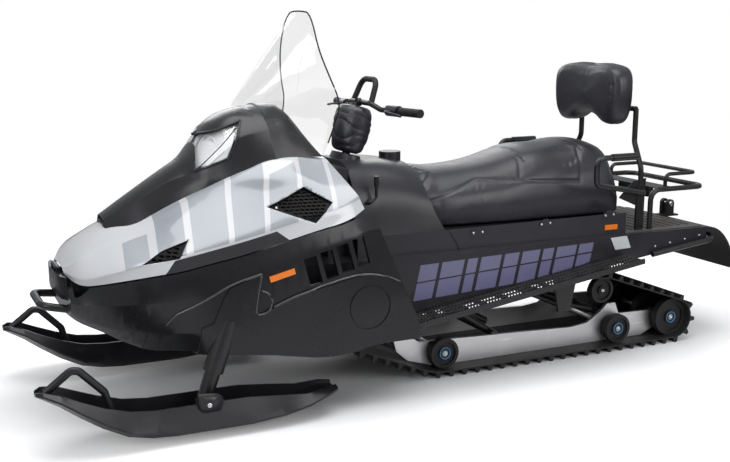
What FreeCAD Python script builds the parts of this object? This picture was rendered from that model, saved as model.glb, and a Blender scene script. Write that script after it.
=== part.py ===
"""A two-seat wide-track utility snowmobile.

X runs forward, Y to the rider's left and Z up, in millimetres. The origin is on the
ground under the middle of the machine. Every size is a cell of the sheet below, and
outlines are shares of the sizes that they follow.
"""
import FreeCAD, Part
import math
import os
from types import SimpleNamespace

import Sketcher

SIZES = {
    # whole machine and running gaps
    "move_gap": 6,
    "fit_gap": 0.3,
    "overrun": 20,
    "overall_height": 1510,

    # tunnel and deck
    "tunnel_front_x": 690,
    "tunnel_rear_x": -1414,
    "tunnel_half_width": 320,
    "tunnel_sheet": 4,
    "tunnel_top_z": 545,
    "tunnel_foot_z": 250,
    "tunnel_skirt_front_z": 283,
    "tunnel_skirt_rear_x": -1094,
    "tunnel_skirt_rear_z": 440,
    "tunnel_tail_z": 490,
    "deck_rear_x": -1400,
    "deck_plate": 4,
    "deck_rib": 8,
    "deck_rib_width": 14,
    "deck_rib_pitch": 46,

    # running boards
    "board_front_x": 170,
    "board_front_z": 289,
    "board_length": 1130,
    "board_width": 146,
    "board_sheet": 4,
    "board_lip": 22,
    "board_slope": 8.4,
    "board_slot_length": 74,
    "board_slot_width": 24,
    "board_slot_pitch": 104,
    "board_row_pitch": 36,

    # flap and rear tubes
    "flap_half_width": 300,
    "flap_thickness": 8,
    "flap_reach": 211,
    "flap_drop": 215,
    "bumper_tube": 26,
    "bumper_front_x": -1097,
    "bumper_front_z": 446,
    "bumper_rear_x": -1478,
    "bumper_rear_z": 492,
    "rack_tube": 24,
    "rack_front_x": -1128,
    "rack_rear_x": -1433,
    "rack_z": 725,
    "rack_half_width": 262,
    "rack_plate": 4,
    "rail_hoop_tube": 18,
    "rail_hoop_z": 782,
    "rail_hoop_half_width": 200,
    "hitch_x": -1456,
    "hitch_bore": 20,
    "hitch_width": 60,
    "hitch_height": 82,

    # seat
    "seat_front_x": -48,
    "seat_rear_x": -985,
    "box_rear_x": -965,
    "seat_base_z": 628,
    "seat_half_width": 250,
    "seat_height": 335,
    "box_half_width": 300,
    "cover_thickness": 12,
    "seam_gap": 6,

    # fuel tank and console
    "tank_front_x": 345,
    "tank_rear_x": -44,
    "tank_height": 300,
    "tank_half_width": 300,
    "cap_x": 60,
    "cap_radius": 46,
    "cap_height": 22,
    "console_front_x": 436,
    "console_half_width": 215,
    "console_top_z": 905,

    # backrest and grab handles
    "pad_centre_x": -985,
    "pad_centre_z": 1150,
    "pad_half_width": 252,
    "pad_half_height": 140,
    "pad_half_depth": 72,
    "post_tube": 24,
    "post_y": 200,
    "post_foot_x": -1069,
    "post_foot_z": 790,
    "gusset_sheet": 4,
    "gusset_y": 262,
    "leg_width": 42,
    "handle_tube": 24,
    "handle_grip": 32,
    "handle_y": 392,
    "handle_z": 903,
    "handle_front_x": -724,
    "handle_rear_x": -930,

    # hood
    "hood_rear_x": 360,
    "hood_length": 1100,
    "hood_half_width": 480,
    "hood_base_z": 535,
    "hood_rise": 430,
    "hood_wall": 6,
    "pod_setback": 175,
    "pod_rear_x": 668,
    "pod_half_width": 280,
    "pod_base_z": 700,
    "pod_rise": 452,
    "cowl_length": 220,
    "lamp_inner_y": 16,
    "lamp_depth": 36,
    "shield_thickness": 4,
    "shield_base_x": 752,
    "shield_base_z": 1150,
    "shield_rake": 278,
    "shield_half_width": 302,
    "hinge_reach": 4,
    "hinge_z": 568,
    "hinge_half_width": 62,
    "hinge_ear": 7,
    "hinge_pin": 9,
    "hinge_barrel": 17,
    "hinge_leaf": 8,
    "trim_reach": 24,
    "trim_half_width": 178,
    "trim_height": 84,
    "mesh_wire": 4,
    "mesh_hole_length": 15,
    "mesh_hole_height": 7,

    # lower hull
    "hull_half_width": 500,
    "hull_base_z": 250,
    "hull_depth": 500,
    "hull_wall": 6,
    "fender_step": 7,
    "louver_x": 652,
    "louver_z": 615,
    "louver_pitch": 66,
    "louver_width": 50,
    "louver_height": 104,
    "louver_depth": 20,
    "disc_x": 384,
    "disc_z": 405,
    "disc_radius": 88,
    "disc_groove": 8,
    "disc_groove_depth": 4,
    "side_panel_inner_y": 320,
    "belly_rear_x": 760,
    "bumper_loop_tube": 30,
    "bumper_loop_reach": 78,
    "bumper_loop_z": 445,
    "bumper_loop_half_width": 112,
    "engine_length": 410,
    "engine_width": 400,
    "engine_base_z": 267,
    "engine_height": 330,

    # steering
    "column_foot_x": 262,
    "column_foot_z": 936,
    "column_lean": 13,
    "column_collar_height": 62,
    "column_pad_length": 200,
    "column_shaft": 34,
    "column_pad_width": 104,
    "column_pad_depth": 76,
    "bar_tube": 22,
    "bar_half_width": 400,
    "bar_x": 176,
    "bar_z": 1121,
    "grip_length": 125,
    "grip_radius": 17,
    "strap_tube": 24,
    "strap_half_width": 88,
    "strap_rise": 92,
    "shift_lever_x": 290,
    "shift_lever_y": 292,
    "shift_lever_foot_z": 765,
    "shift_lever_length": 84,
    "shift_lever_tube": 12,
    "shift_grip_tube": 20,
    "control_length": 70,
    "control_height": 44,
    "control_y": 232,
    "lever_tube": 10,
    "lever_reach": 46,

    # skis and struts
    "ski_stance": 900,
    "ski_half_width": 120,
    "ski_rear_x": 521,
    "ski_length": 1104,
    "ski_keel_height": 40,
    "ski_tip_height": 215,
    "ski_wall_height": 82,
    "ski_wall": 8,
    "ski_loop_tube": 28,
    "strut_top_x": 961,
    "strut_top_z": 315,
    "strut_rake": 19.5,
    "strut_collar": 76,
    "strut_tube": 58,
    "strut_length": 245,
    "strut_collar_reach": 100,
    "ski_bolt": 24,
    "ski_pivot_z": 95,

    # track
    "track_width": 600,
    "track_belt": 6,
    "lug_height": 22,
    "lug_pitch": 63,
    "lug_foot": 26,
    "lug_tip": 12,
    "rear_idler_x": -1281,
    "rear_idler_radius": 88,
    "rail_bend_x": -64,
    "rail_bend_radius": 272,
    "sprocket_x": 560,
    "sprocket_z": 361,
    "sprocket_radius": 90,
    "sprocket_teeth": 9,
    "carrier_x": -880,
    "carrier_z": 287,
    "carrier_radius": 60,
    "idler_front_x": -75,
    "idler_mid_x": -979,
    "idler_radius": 67,
    "idler_width": 34,
    "idler_y": 252,
    "wheel_gap": 1.2,
    "axle_tube": 24,
    "rail_y": 205,
    "rail_thickness": 16,
    "rail_height": 102,
    "arm_tube": 32,
    "arm_front_x": -362,
    "arm_front_z": 128,
    "hanger_x": -642,
    "hanger_z": 251,
    "hanger_width": 120,
    "hanger_sheet": 10,
    "arm_top_x": -80,
    "arm_top_z": 318,
    "rear_arm_foot_x": -925,
    "rear_arm_foot_z": 160,
    "shock_diameter": 46,
    "front_reflector_x": 735,
    "front_reflector_z": 563,
    "rear_reflector_x": -883,
    "rear_reflector_z": 582,
    "tail_lamp_width": 210,
    "tail_lamp_height": 56,
    "tail_lamp_depth": 34,
    "reflector_length": 66,
    "reflector_height": 22,
    "reflector_depth": 5,
}

# Stations along the hood from the nose: reach, then half-section corners as shares of
# the half width and rise: lower edge, shoulder, top crease, and the middle's height.
HOOD_SHARES = [
    (0.007, 0.23, 0.060, 0.23, 0.070, 0.17, 0.090, 0.100),
    (0.027, 0.40, 0.010, 0.41, 0.060, 0.31, 0.130, 0.170),
    (0.055, 0.53, 0.000, 0.54, 0.060, 0.36, 0.200, 0.255),
    (0.110, 0.66, 0.040, 0.65, 0.120, 0.37, 0.270, 0.365),
    (0.170, 0.755, 0.075, 0.74, 0.180, 0.375, 0.340, 0.450),
    (0.255, 0.835, 0.115, 0.81, 0.230, 0.385, 0.410, 0.520),
    (0.335, 0.895, 0.145, 0.86, 0.270, 0.415, 0.520, 0.610),
    (0.420, 0.94, 0.200, 0.90, 0.330, 0.420, 0.640, 0.710),
    (0.510, 0.97, 0.245, 0.93, 0.390, 0.460, 0.760, 0.825),
    (0.600, 0.99, 0.300, 0.95, 0.450, 0.520, 0.870, 0.940),
    (0.700, 1.00, 0.365, 0.96, 0.510, 0.580, 0.980, 1.050),
    (0.800, 1.00, 0.425, 0.96, 0.560, 0.560, 0.985, 1.050),
    (0.910, 0.985, 0.470, 0.95, 0.610, 0.500, 0.975, 1.040),
    (1.000, 0.92, 0.560, 0.89, 0.680, 0.480, 0.950, 1.010),
]

# How far from a corner a cut starts, along each span between two stations.
CORNER_SHARE = 0.25

# The hood's rear edge leans: reach at the top and at the lower edge.
HOOD_REAR_SHARES = (0.905, 0.99)

# Stations of the headlight pod from its tip: reach, lower edge, shoulder, top middle.
POD_SHARES = [
    (0.00, 0.29, 0.02, 0.20, 0.09, 0.115),
    (0.13, 0.53, 0.04, 0.27, 0.19, 0.232),
    (0.28, 0.55, 0.12, 0.32, 0.31, 0.363),
    (0.41, 0.58, 0.20, 0.38, 0.41, 0.474),
    (0.52, 0.66, 0.25, 0.50, 0.45, 0.570),
    (0.58, 0.72, 0.28, 0.60, 0.52, 0.670),
    (0.63, 0.75, 0.31, 0.64, 0.58, 0.780),
    (0.72, 0.82, 0.41, 0.68, 0.69, 0.885),
    (0.84, 0.90, 0.49, 0.69, 0.78, 0.973),
    (1.00, 0.97, 0.56, 0.68, 0.82, 1.000),
]

# Corners of a lamp in side view, along the pod and up its rise: the inner top corner
# beside the nose, the lower front, the lower rear and the upper rear one.
LAMP_SHARES = [(0.605, 0.745), (0.540, 0.478), (0.729, 0.586), (0.843, 0.874)]

# The cowl goes on from the pod's last station.
COWL_SHARES = [
    (0.00, 0.97, 0.56, 0.68, 0.82, 1.000),
    (0.35, 0.94, 0.56, 0.62, 0.80, 1.000),
    (0.70, 0.90, 0.56, 0.54, 0.76, 0.930),
    (1.00, 0.84, 0.56, 0.46, 0.70, 0.800),
]

# Stations of the lower hull, at the hood's reach: widest point under the belt line,
# lower side, bottom corner and keel, as shares of the half width and depth.
HULL_SHARES = [
    (0.49, 0.450, 0.44, 0.370, 0.36, 0.330, 0.310),
    (0.52, 0.445, 0.45, 0.340, 0.37, 0.290, 0.270),
    (0.56, 0.440, 0.48, 0.310, 0.38, 0.250, 0.230),
    (0.66, 0.446, 0.55, 0.270, 0.40, 0.190, 0.170),
    (0.75, 0.460, 0.63, 0.250, 0.43, 0.110, 0.090),
    (0.83, 0.476, 0.73, 0.240, 0.50, 0.030, 0.010),
    (0.89, 0.500, 0.84, 0.230, 0.68, 0.060, 0.000),
    (0.93, 0.550, 0.93, 0.240, 0.90, 0.080, 0.000),
    (0.96, 0.600, 0.97, 0.260, 0.96, 0.070, 0.000),
    (0.98, 0.660, 0.98, 0.280, 0.97, 0.050, 0.000),
    (0.99, 0.730, 0.98, 0.300, 0.975, 0.010, 0.000),
    (0.99, 0.790, 0.98, 0.310, 0.975, -0.030, 0.000),
    (0.975, 0.860, 0.98, 0.340, 0.975, -0.030, 0.000),
    (0.96, 0.910, 0.98, 0.360, 0.97, 0.020, 0.000),
]

# Outline of a side panel in side view: reach along the hood's length and height in
# shares of the hull's depth, from the front lower corner over the top to the rear.
SIDE_PANEL_SHARES = [
    (0.255, -0.20), (0.287, 0.19), (0.404, 0.48), (0.450, 0.54), (0.580, 0.66),
    (0.580, 1.20), (1.000, 1.20), (1.000, 1.06), (1.019, 0.93), (1.180, 0.10),
    (1.180, -0.20),
]

# The part of a side panel that stands proud, like SIDE_PANEL_SHARES: up the front edge
# of the fender, down to the notch behind the reflector and along the ridge to the rear.
FENDER_SHARES = [
    (0.380, -0.20), (0.388, 0.27), (0.427, 0.31), (0.435, 0.36), (0.462, 0.49),
    (0.482, 0.56), (0.586, 0.65), (0.565, 0.36), (0.582, 0.335), (0.627, 0.39),
    (0.705, 0.466), (0.840, 0.512), (0.955, 0.562), (1.004, 0.556), (1.053, 0.514),
    (1.107, 0.446), (1.240, 0.10), (1.240, -0.20),
]

# A louver leans back by this share of its height and rises by this share of its pitch.
LOUVER_LEAN_SHARE = 0.27
LOUVER_CLIMB_SHARE = 0.27
LOUVERS = 4

# Windshield rungs from its foot to its top: how far up the rake the middle is, and
# the side edge's place back along the rake, out and up.
SHIELD_SHARES = [
    (0.00, 1.05, 0.78, -0.53),
    (0.15, 1.13, 0.94, -0.22),
    (0.30, 1.20, 1.00, 0.00),
    (0.45, 1.16, 0.99, 0.14),
    (0.60, 1.09, 0.88, 0.33),
    (0.78, 1.02, 0.70, 0.60),
    (0.92, 1.02, 0.52, 0.87),
    (1.00, 1.03, 0.33, 0.98),
]

# Seat stations from its nose: reach, half width at the base, shoulder width and
# height, and the crown's height, as shares of the seat's own sizes.
SEAT_SHARES = [
    (-0.085, 0.84, 0.50, 0.68, 0.75),
    (-0.030, 0.85, 0.51, 0.67, 0.76),
    (0.020, 0.86, 0.53, 0.64, 0.73),
    (0.060, 0.90, 0.56, 0.62, 0.72),
    (0.200, 0.94, 0.62, 0.64, 0.73),
    (0.340, 0.98, 0.68, 0.69, 0.77),
    (0.480, 1.00, 0.70, 0.80, 0.87),
    (0.550, 1.00, 0.70, 0.86, 0.94),
    (0.700, 1.00, 0.70, 0.86, 0.94),
    (0.820, 1.00, 0.72, 0.92, 0.99),
    (0.920, 0.98, 0.68, 0.88, 0.95),
    (0.975, 0.94, 0.62, 0.74, 0.80),
    (1.000, 0.90, 0.56, 0.50, 0.56),
]

# Tank stations from its front: reach, base, middle and shoulder widths, then heights.
TANK_SHARES = [
    (0.00, 0.97, 0.92, 0.70, 0.50, 0.876, 0.975),
    (0.30, 0.97, 0.91, 0.66, 0.53, 0.876, 0.957),
    (0.74, 0.97, 0.89, 0.58, 0.50, 0.814, 0.913),
    (1.00, 0.97, 0.87, 0.54, 0.44, 0.720, 0.840),
    (1.20, 0.96, 0.85, 0.52, 0.40, 0.690, 0.810),
]

# The seam between tank and seat in side view, as shares of the tank's length ahead of
# its rear end and of the height from the tunnel to the tank's top.
SEAM_SHARES = [(-0.175, 0.00), (-0.069, 0.17), (0.069, 0.41), (0.139, 0.61), (0.177, 0.87), (0.180, 1.30)]

# Corners of the gusset under a backrest post, in leg widths behind and above its foot.
GUSSET_SHARES = [(-0.67, -0.17), (1.00, -0.40), (2.83, -2.10), (0.26, -3.20), (-0.45, -2.60)]

# Sections of the steering sleeve from its foot: reach, depth and width.
SLEEVE_SHARES = [
    (0.00, 0.72, 0.80), (0.30, 1.00, 0.88), (0.60, 1.06, 0.92), (0.85, 1.00, 0.88), (1.00, 0.80, 0.72),
]

# Ski stations from its tail: reach, half width, keel height, wall height and wall gap.
SKI_SHARES = [
    (0.000, 0.45, 0.36, 0.10, 0.22),
    (0.035, 0.72, 0.30, 0.12, 0.40),
    (0.120, 0.88, 0.15, 0.35, 0.50),
    (0.215, 0.94, 0.05, 0.72, 0.54),
    (0.330, 0.96, 0.00, 1.00, 0.56),
    (0.560, 0.96, 0.00, 1.00, 0.56),
    (0.640, 0.97, 0.03, 0.92, 0.56),
    (0.720, 1.00, 0.12, 0.78, 0.58),
    (0.800, 1.00, 0.33, 0.55, 0.58),
    (0.870, 0.90, 0.57, 0.35, 0.54),
    (0.930, 0.72, 0.80, 0.20, 0.44),
    (0.980, 0.42, 0.95, 0.10, 0.26),
    (1.000, 0.16, 1.00, 0.04, 0.08),
]

# Slide rail outline: reach along the rail from its rear end, and height.
RAIL_SHARES = [
    (0.00, 0.62), (0.10, 0.02), (0.845, 0.00), (0.935, 0.38), (0.972, 0.85),
    (0.985, 1.55), (0.970, 1.66), (0.945, 1.58), (0.900, 1.12), (0.660, 1.00),
    (0.370, 0.85), (0.310, 0.95), (0.260, 1.40), (0.235, 1.72), (0.205, 1.72),
    (0.190, 1.20), (0.00, 1.12),
]

doc = FreeCAD.newDocument("snowmobile")
sheet = doc.addObject("Spreadsheet::Sheet", "sizes")
for row, (name, value) in enumerate(SIZES.items(), start=1):
    sheet.set("A%d" % row, name)
    sheet.set("B%d" % row, str(value))
    sheet.setAlias("B%d" % row, name)
doc.recompute()
size = SimpleNamespace(**{name: float(sheet.get(name)) for name in SIZES})

# The hood grows forward from its rear edge and takes its nose and pod with it.
size.hood_front_x = size.hood_rear_x + size.hood_length
size.pod_front_x = size.hood_front_x - size.pod_setback
size.pod_length = size.pod_front_x - size.pod_rear_x
size.hinge_x = size.hood_front_x + size.hinge_reach
size.bumper_loop_x = size.hood_front_x + size.bumper_loop_reach
sub_parts = []


def vec(x, y, z):
    return FreeCAD.Vector(x, y, z)


def keep(label, shape):
    """Put a computed shape into the document as a sub-part of its own."""
    item = doc.addObject("Part::Feature", label)
    item.Label = label
    item.Shape = shape
    sub_parts.append(item)
    return item


def keep_object(item, label):
    item.Label = label
    sub_parts.append(item)
    return item


def role_plane(body, role):
    return next(f for f in body.Origin.OriginFeatures if f.Role == role)


def bound_sketch(body, name, role, corners):
    """A closed polygon whose corners are bound to cells of the sheet."""
    sketch = body.newObject("Sketcher::SketchObject", name)
    sketch.AttachmentSupport = [(role_plane(body, role), "")]
    sketch.MapMode = "FlatFace"
    places = [(sheet.evalExpression(a), sheet.evalExpression(b)) for a, b in corners]
    places = [(float(a), float(b)) for a, b in places]
    count = len(places)
    for i in range(count):
        start = vec(*places[i], 0)
        end = vec(*places[(i + 1) % count], 0)
        sketch.addGeometry(Part.LineSegment(start, end), False)
    for i in range(count):
        sketch.addConstraint(Sketcher.Constraint("Coincident", i, 2, (i + 1) % count, 1))
    for i, corner in enumerate(corners):
        for kind, place, formula in zip(("DistanceX", "DistanceY"), places[i], corner):
            rule = sketch.addConstraint(Sketcher.Constraint(kind, -1, 1, i, 1, place))
            sketch.renameConstraint(rule, "%s%d" % (kind, i))
            sketch.setExpression("Constraints.%s%d" % (kind, i), formula)
    return sketch


def plate(label, role, corners, thickness, middle):
    """A flat piece: a bound outline padded about its own middle plane."""
    body = doc.addObject("PartDesign::Body", label)
    sketch = bound_sketch(body, label + "_outline", role, corners)
    sketch.setExpression(".AttachmentOffset.Base.z", middle)
    pad = body.newObject("PartDesign::Pad", label + "_pad")
    pad.Profile = sketch
    pad.Midplane = True
    pad.setExpression("Length", thickness)
    return body


def solid_loft(wires, ruled=False):
    return Part.makeLoft(wires, True, ruled)


def prism(points, middle_y, width):
    """An outline in side view, as (x, z) pairs, carried across the machine."""
    corners = [vec(x, middle_y - width / 2, z) for x, z in points]
    face = Part.Face(Part.makePolygon(corners + corners[:1]))
    return face.extrude(vec(0, width, 0))


def plan_prism(points, low_z, rise):
    corners = [vec(x, y, low_z) for x, y in points]
    face = Part.Face(Part.makePolygon(corners + corners[:1]))
    return face.extrude(vec(0, 0, rise))


def mirrored(shape):
    return shape.mirror(vec(0, 0, 0), vec(0, 1, 0))


def both_sides(shape):
    return Part.makeCompound([shape, mirrored(shape)])


def tube(points, diameter, bend):
    """A round tube: straight lengths, joined by bends that touch both of their neighbours."""
    pieces = []
    start = points[0]
    for before, corner, after in zip(points, points[1:], points[2:]):
        back = (before - corner).normalize()
        ahead = (after - corner).normalize()
        half_turn = (math.pi - back.getAngle(ahead)) / 2
        cut = bend * math.tan(half_turn)
        first = corner + back * cut
        centre = corner + (back + ahead).normalize() * (bend / math.cos(half_turn))
        disc = Part.Face(Part.Wire(Part.makeCircle(diameter / 2, first, corner - first)))
        pieces.append(rod(start, first, diameter))
        pieces.append(disc.revolve(centre, ahead.cross(back), math.degrees(2 * half_turn)))
        start = corner + ahead * cut
    pieces.append(rod(start, points[-1], diameter))
    return joined(pieces) if len(pieces) > 1 else pieces[0]


def rod(start, end, diameter):
    span = end - start
    return Part.makeCylinder(diameter / 2, span.Length, start, span)


def cross_rod(x, z, diameter, half_width):
    return rod(vec(x, -half_width, z), vec(x, half_width, z), diameter)


def joined(shapes):
    return shapes[0].fuse(shapes[1:])


def half_section(x, lines):
    """A closed cross-section: creased runs mirrored about the middle.

    lines holds (y, z) points from the lower edge to the middle, and the last one lies
    on the middle plane. The crown between the last creases is one smooth curve, or a
    straight line where it hardly rises.
    """
    left = [vec(x, y, z) for y, z in lines[:-1]]
    crown = vec(x, 0, lines[-1][1])
    right = [vec(x, -p.y, p.z) for p in reversed(left)]
    edges = [Part.LineSegment(a, b).toShape() for a, b in zip(left, left[1:])]
    flat = abs(crown.z - left[-1].z) < size.fit_gap
    top = Part.LineSegment(left[-1], right[0]) if flat else Part.Arc(left[-1], crown, right[0])
    edges.append(top.toShape())
    edges += [Part.LineSegment(a, b).toShape() for a, b in zip(right, right[1:])]
    edges.append(Part.LineSegment(right[-1], left[0]).toShape())
    return Part.Wire(edges)


def softened(rows):
    """Stations with their corners cut, so that a skin turns in smaller steps along the machine."""
    soft = [rows[0]]
    for (first_x, first), (last_x, last) in zip(rows, rows[1:]):
        for share in (CORNER_SHARE, 1 - CORNER_SHARE):
            x = first_x + (last_x - first_x) * share
            soft.append((x, [(ay + (by - ay) * share, az + (bz - az) * share)
                             for (ay, az), (by, bz) in zip(first, last)]))
    soft.append(rows[-1])
    return soft


# Hood

def hood_rows(inset, drop):
    """Hood stations in real sizes, moved in by the wall and down at the open edge."""
    rows = []
    for reach, low_y, low_z, side_y, side_z, top_y, top_z, mid_z in HOOD_SHARES:
        x = size.hood_front_x - reach * size.hood_length
        wide = size.hood_half_width
        base = size.hood_base_z
        rise = size.hood_rise
        rows.append((x, [
            (low_y * wide - inset, base + low_z * rise - drop),
            (side_y * wide - inset, base + side_z * rise - inset / 2),
            (top_y * wide - inset / 2, base + top_z * rise - inset),
            (0, base + mid_z * rise - inset),
        ]))
    return softened(rows)


def hood_solid(inset, drop, first):
    rows = hood_rows(inset, drop)[first:]
    return solid_loft([half_section(x, lines) for x, lines in rows], True)


def hood_rear_cutter():
    """Everything behind the leaning rear edge of the hood."""
    top_share, low_share = HOOD_REAR_SHARES
    top_x = size.hood_front_x - top_share * size.hood_length
    low_x = size.hood_front_x - low_share * size.hood_length
    top_z = size.hood_base_z + size.hood_rise + size.overrun
    low_z = size.hood_base_z + size.hood_rise / 2
    return prism([
        (top_x, top_z + size.hood_rise), (top_x, top_z), (low_x, low_z),
        (low_x, size.hood_base_z), (size.tank_rear_x, size.hood_base_z),
        (size.tank_rear_x, top_z + size.hood_rise),
    ], 0, size.hood_half_width * 3)


hood_outer = hood_solid(0, 0, 0)
hood_inner = hood_solid(size.hood_wall, size.overrun, 2)
rear_cutter = hood_rear_cutter()


def upper_vent_points(grow):
    """The diamond opening in the hood's side, in side view."""
    x = size.hood_front_x - 0.753 * size.hood_length
    z = size.hood_base_z + 0.62 * size.hood_rise
    half = 0.112 * size.hood_length + grow
    tall = 0.145 * size.hood_rise + grow
    return [(x + half, z + 0.0 * tall), (x - 0.25 * half, z + tall),
            (x - half, z + 0.1 * tall), (x - 0.35 * half, z - tall)]


def lower_vent_points(grow):
    """The slanted slot in the hood's nose, in side view."""
    x = size.hood_front_x - 0.298 * size.hood_length
    z = size.hood_base_z + 0.285 * size.hood_rise
    half = 0.080 * size.hood_length + grow
    tall = 0.085 * size.hood_rise + grow
    return [(x + half, z - 1.0 * tall), (x + 0.1 * half, z + 0.1 * tall),
            (x - half, z + 1.1 * tall), (x - 0.45 * half, z - 0.5 * tall)]


def vent_cutters(points):
    width = size.hood_half_width
    return both_sides(prism(points, width * 0.95, width))


def hood():
    """A hollow moulded shell with four mesh openings."""
    shell = hood_outer.cut(hood_inner)
    shell = shell.cut(rear_cutter)
    for points in (upper_vent_points(0), lower_vent_points(0)):
        shell = shell.cut(vent_cutters(points))
    keep("hood", shell)


def mesh_holes(points):
    """The slots of a grille in side view, in staggered rows, each wholly inside the outline."""
    face = Part.Face(Part.makePolygon([vec(x, 0, z) for x, z in points + points[:1]]))
    box = face.BoundBox
    step_x = size.mesh_hole_length + size.mesh_wire
    step_z = size.mesh_hole_height + size.mesh_wire
    holes = []
    for row in range(int(box.ZLength / step_z) + 1):
        low_z = box.ZMin + row * step_z
        shift = (row % 2) * step_x / 2
        for column in range(int(box.XLength / step_x) + 1):
            low_x = box.XMin + column * step_x - shift
            corners = [(low_x, low_z), (low_x + size.mesh_hole_length, low_z),
                       (low_x + size.mesh_hole_length, low_z + size.mesh_hole_height),
                       (low_x, low_z + size.mesh_hole_height)]
            if all(face.isInside(vec(x, 0, z), size.fit_gap, True) for x, z in corners):
                holes.append(prism(corners, size.hood_half_width * 0.95, size.hood_half_width))
    return Part.makeCompound(holes)


def hood_grilles():
    """A slotted sheet under each vent, curved like the hood above it."""
    skin_outer = hood_solid(size.hood_wall, size.overrun, 2)
    skin_inner = hood_solid(size.hood_wall * 1.7, 2 * size.overrun, 2)
    skin = skin_outer.cut(skin_inner)
    middle_y = size.hood_half_width * 0.95
    patches = []
    for outline in (upper_vent_points, lower_vent_points):
        patch = skin.common(prism(outline(size.overrun / 2), middle_y, size.hood_half_width))
        patch = patch.cut(mesh_holes(outline(0)))
        patches += [patch, mirrored(patch)]
    keep("hood_grilles", Part.makeCompound(patches))


def pod_rows(table, front_x, length, inset):
    rows = []
    for reach, low_y, low_z, side_y, side_z, mid_z in table:
        wide = size.pod_half_width
        rise = size.pod_rise
        rows.append((front_x - reach * length, [
            (low_y * wide - inset, size.pod_base_z + low_z * rise - 2 * inset),
            (side_y * wide - inset, size.pod_base_z + side_z * rise - inset / 2),
            (0, size.pod_base_z + mid_z * rise - inset),
        ]))
    return rows


def pod_solid(table, front_x, length, inset):
    rows = pod_rows(table, front_x, length, inset)
    return solid_loft([half_section(x, lines) for x, lines in rows], True)


def lamp_zones(gap):
    """Both lamps as blocks sunk into the pod, smaller all round by a gap."""
    corners = [(size.pod_front_x - reach * size.pod_length, size.pod_base_z + high * size.pod_rise)
               for reach, high in LAMP_SHARES]
    middle_x = sum(x for x, z in corners) / len(corners)
    middle_z = sum(z for x, z in corners) / len(corners)
    reach = max(math.hypot(x - middle_x, z - middle_z) for x, z in corners)
    scale = 1 - 2 * gap / reach
    outline = [(middle_x + (x - middle_x) * scale, middle_z + (z - middle_z) * scale) for x, z in corners]
    low_y = size.lamp_inner_y + gap
    wide = size.pod_half_width
    block = prism(outline, low_y + wide / 2, wide)
    core = pod_solid(POD_SHARES, size.pod_front_x, size.pod_length, size.lamp_depth - gap)
    return both_sides(block.cut(core))


def headlight_pod():
    """The black top of the hood with its brow and the recesses of both lamps."""
    pod = pod_solid(POD_SHARES, size.pod_front_x, size.pod_length, 0)
    pod = pod.cut(hood_outer)
    pod = pod.cut(lamp_zones(0))
    keep("headlight_pod", max(pod.Solids, key=lambda s: s.Volume))


def headlight():
    """Two lens blocks that follow the pod's skin."""
    pod = pod_solid(POD_SHARES, size.pod_front_x, size.pod_length, 0)
    lenses = []
    for zone in lamp_zones(size.fit_gap).Solids:
        lens = zone.common(pod).cut(hood_outer)
        lenses.append(max(lens.Solids, key=lambda s: s.Volume))
    keep("headlight", Part.makeCompound(lenses))


def cowl():
    """The black skirt behind the pod that carries the windshield."""
    front_x = size.pod_front_x - size.pod_length
    outer = pod_solid(COWL_SHARES, front_x, size.cowl_length, 0)
    inner_rows = pod_rows(COWL_SHARES, front_x, size.cowl_length, size.hood_wall)
    inner = solid_loft([half_section(x, lines) for x, lines in inner_rows[1:]], True)
    back_x = front_x - size.cowl_length
    low_z = size.pod_base_z + 0.5 * size.pod_rise
    top_z = size.pod_base_z + 1.1 * size.pod_rise
    behind = prism([
        (back_x + 0.75 * size.cowl_length, top_z), (back_x, low_z),
        (back_x - size.cowl_length, low_z), (back_x - size.cowl_length, top_z),
    ], 0, 3 * size.pod_half_width)
    shell = outer.cut(inner).cut(behind).cut(hood_outer)
    keep("cowl", shell)


def shield_section(row, offset):
    """One rung: a parabola from side edge to side edge, in a leaning plane."""
    up, back, out, high = row
    rise = size.overall_height - size.shield_base_z
    front = (size.shield_base_x - up * size.shield_rake,
             size.shield_base_z + up * rise)
    side = (size.shield_base_x - back * size.shield_rake,
            size.shield_base_z + high * rise)
    wide = out * size.shield_half_width
    span = math.hypot(side[0] - front[0], side[1] - front[1])
    points = []
    for share in (-1, -0.7, -0.35, 0, 0.35, 0.7, 1):
        depth = share * share
        reach = depth + (1 - depth) * offset / span
        x = front[0] + (side[0] - front[0]) * reach
        z = front[1] + (side[1] - front[1]) * reach
        points.append(vec(x, share * (wide - offset * depth), z))
    return points


def windshield():
    """A bowed clear sheet, lofted through rungs of its own thickness."""
    wires = []
    for row in SHIELD_SHARES:
        outer = shield_section(row, 0)
        inner = shield_section(row, size.shield_thickness)
        front = Part.BSplineCurve()
        front.interpolate(outer)
        back = Part.BSplineCurve()
        back.interpolate(inner)
        edges = [front.toShape(), Part.makeLine(outer[-1], inner[-1]), back.toShape(),
                 Part.makeLine(inner[0], outer[0])]
        wires.append(Part.Wire(edges))
    pod = pod_solid(POD_SHARES, size.pod_front_x, size.pod_length, 0)
    skirt = pod_solid(COWL_SHARES, size.pod_front_x - size.pod_length, size.cowl_length, 0)
    shield = solid_loft(wires, True).cut(pod).cut(skirt).cut(hood_outer)
    keep("windshield", max(shield.Solids, key=lambda s: s.Volume))


# Lower hull

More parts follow.
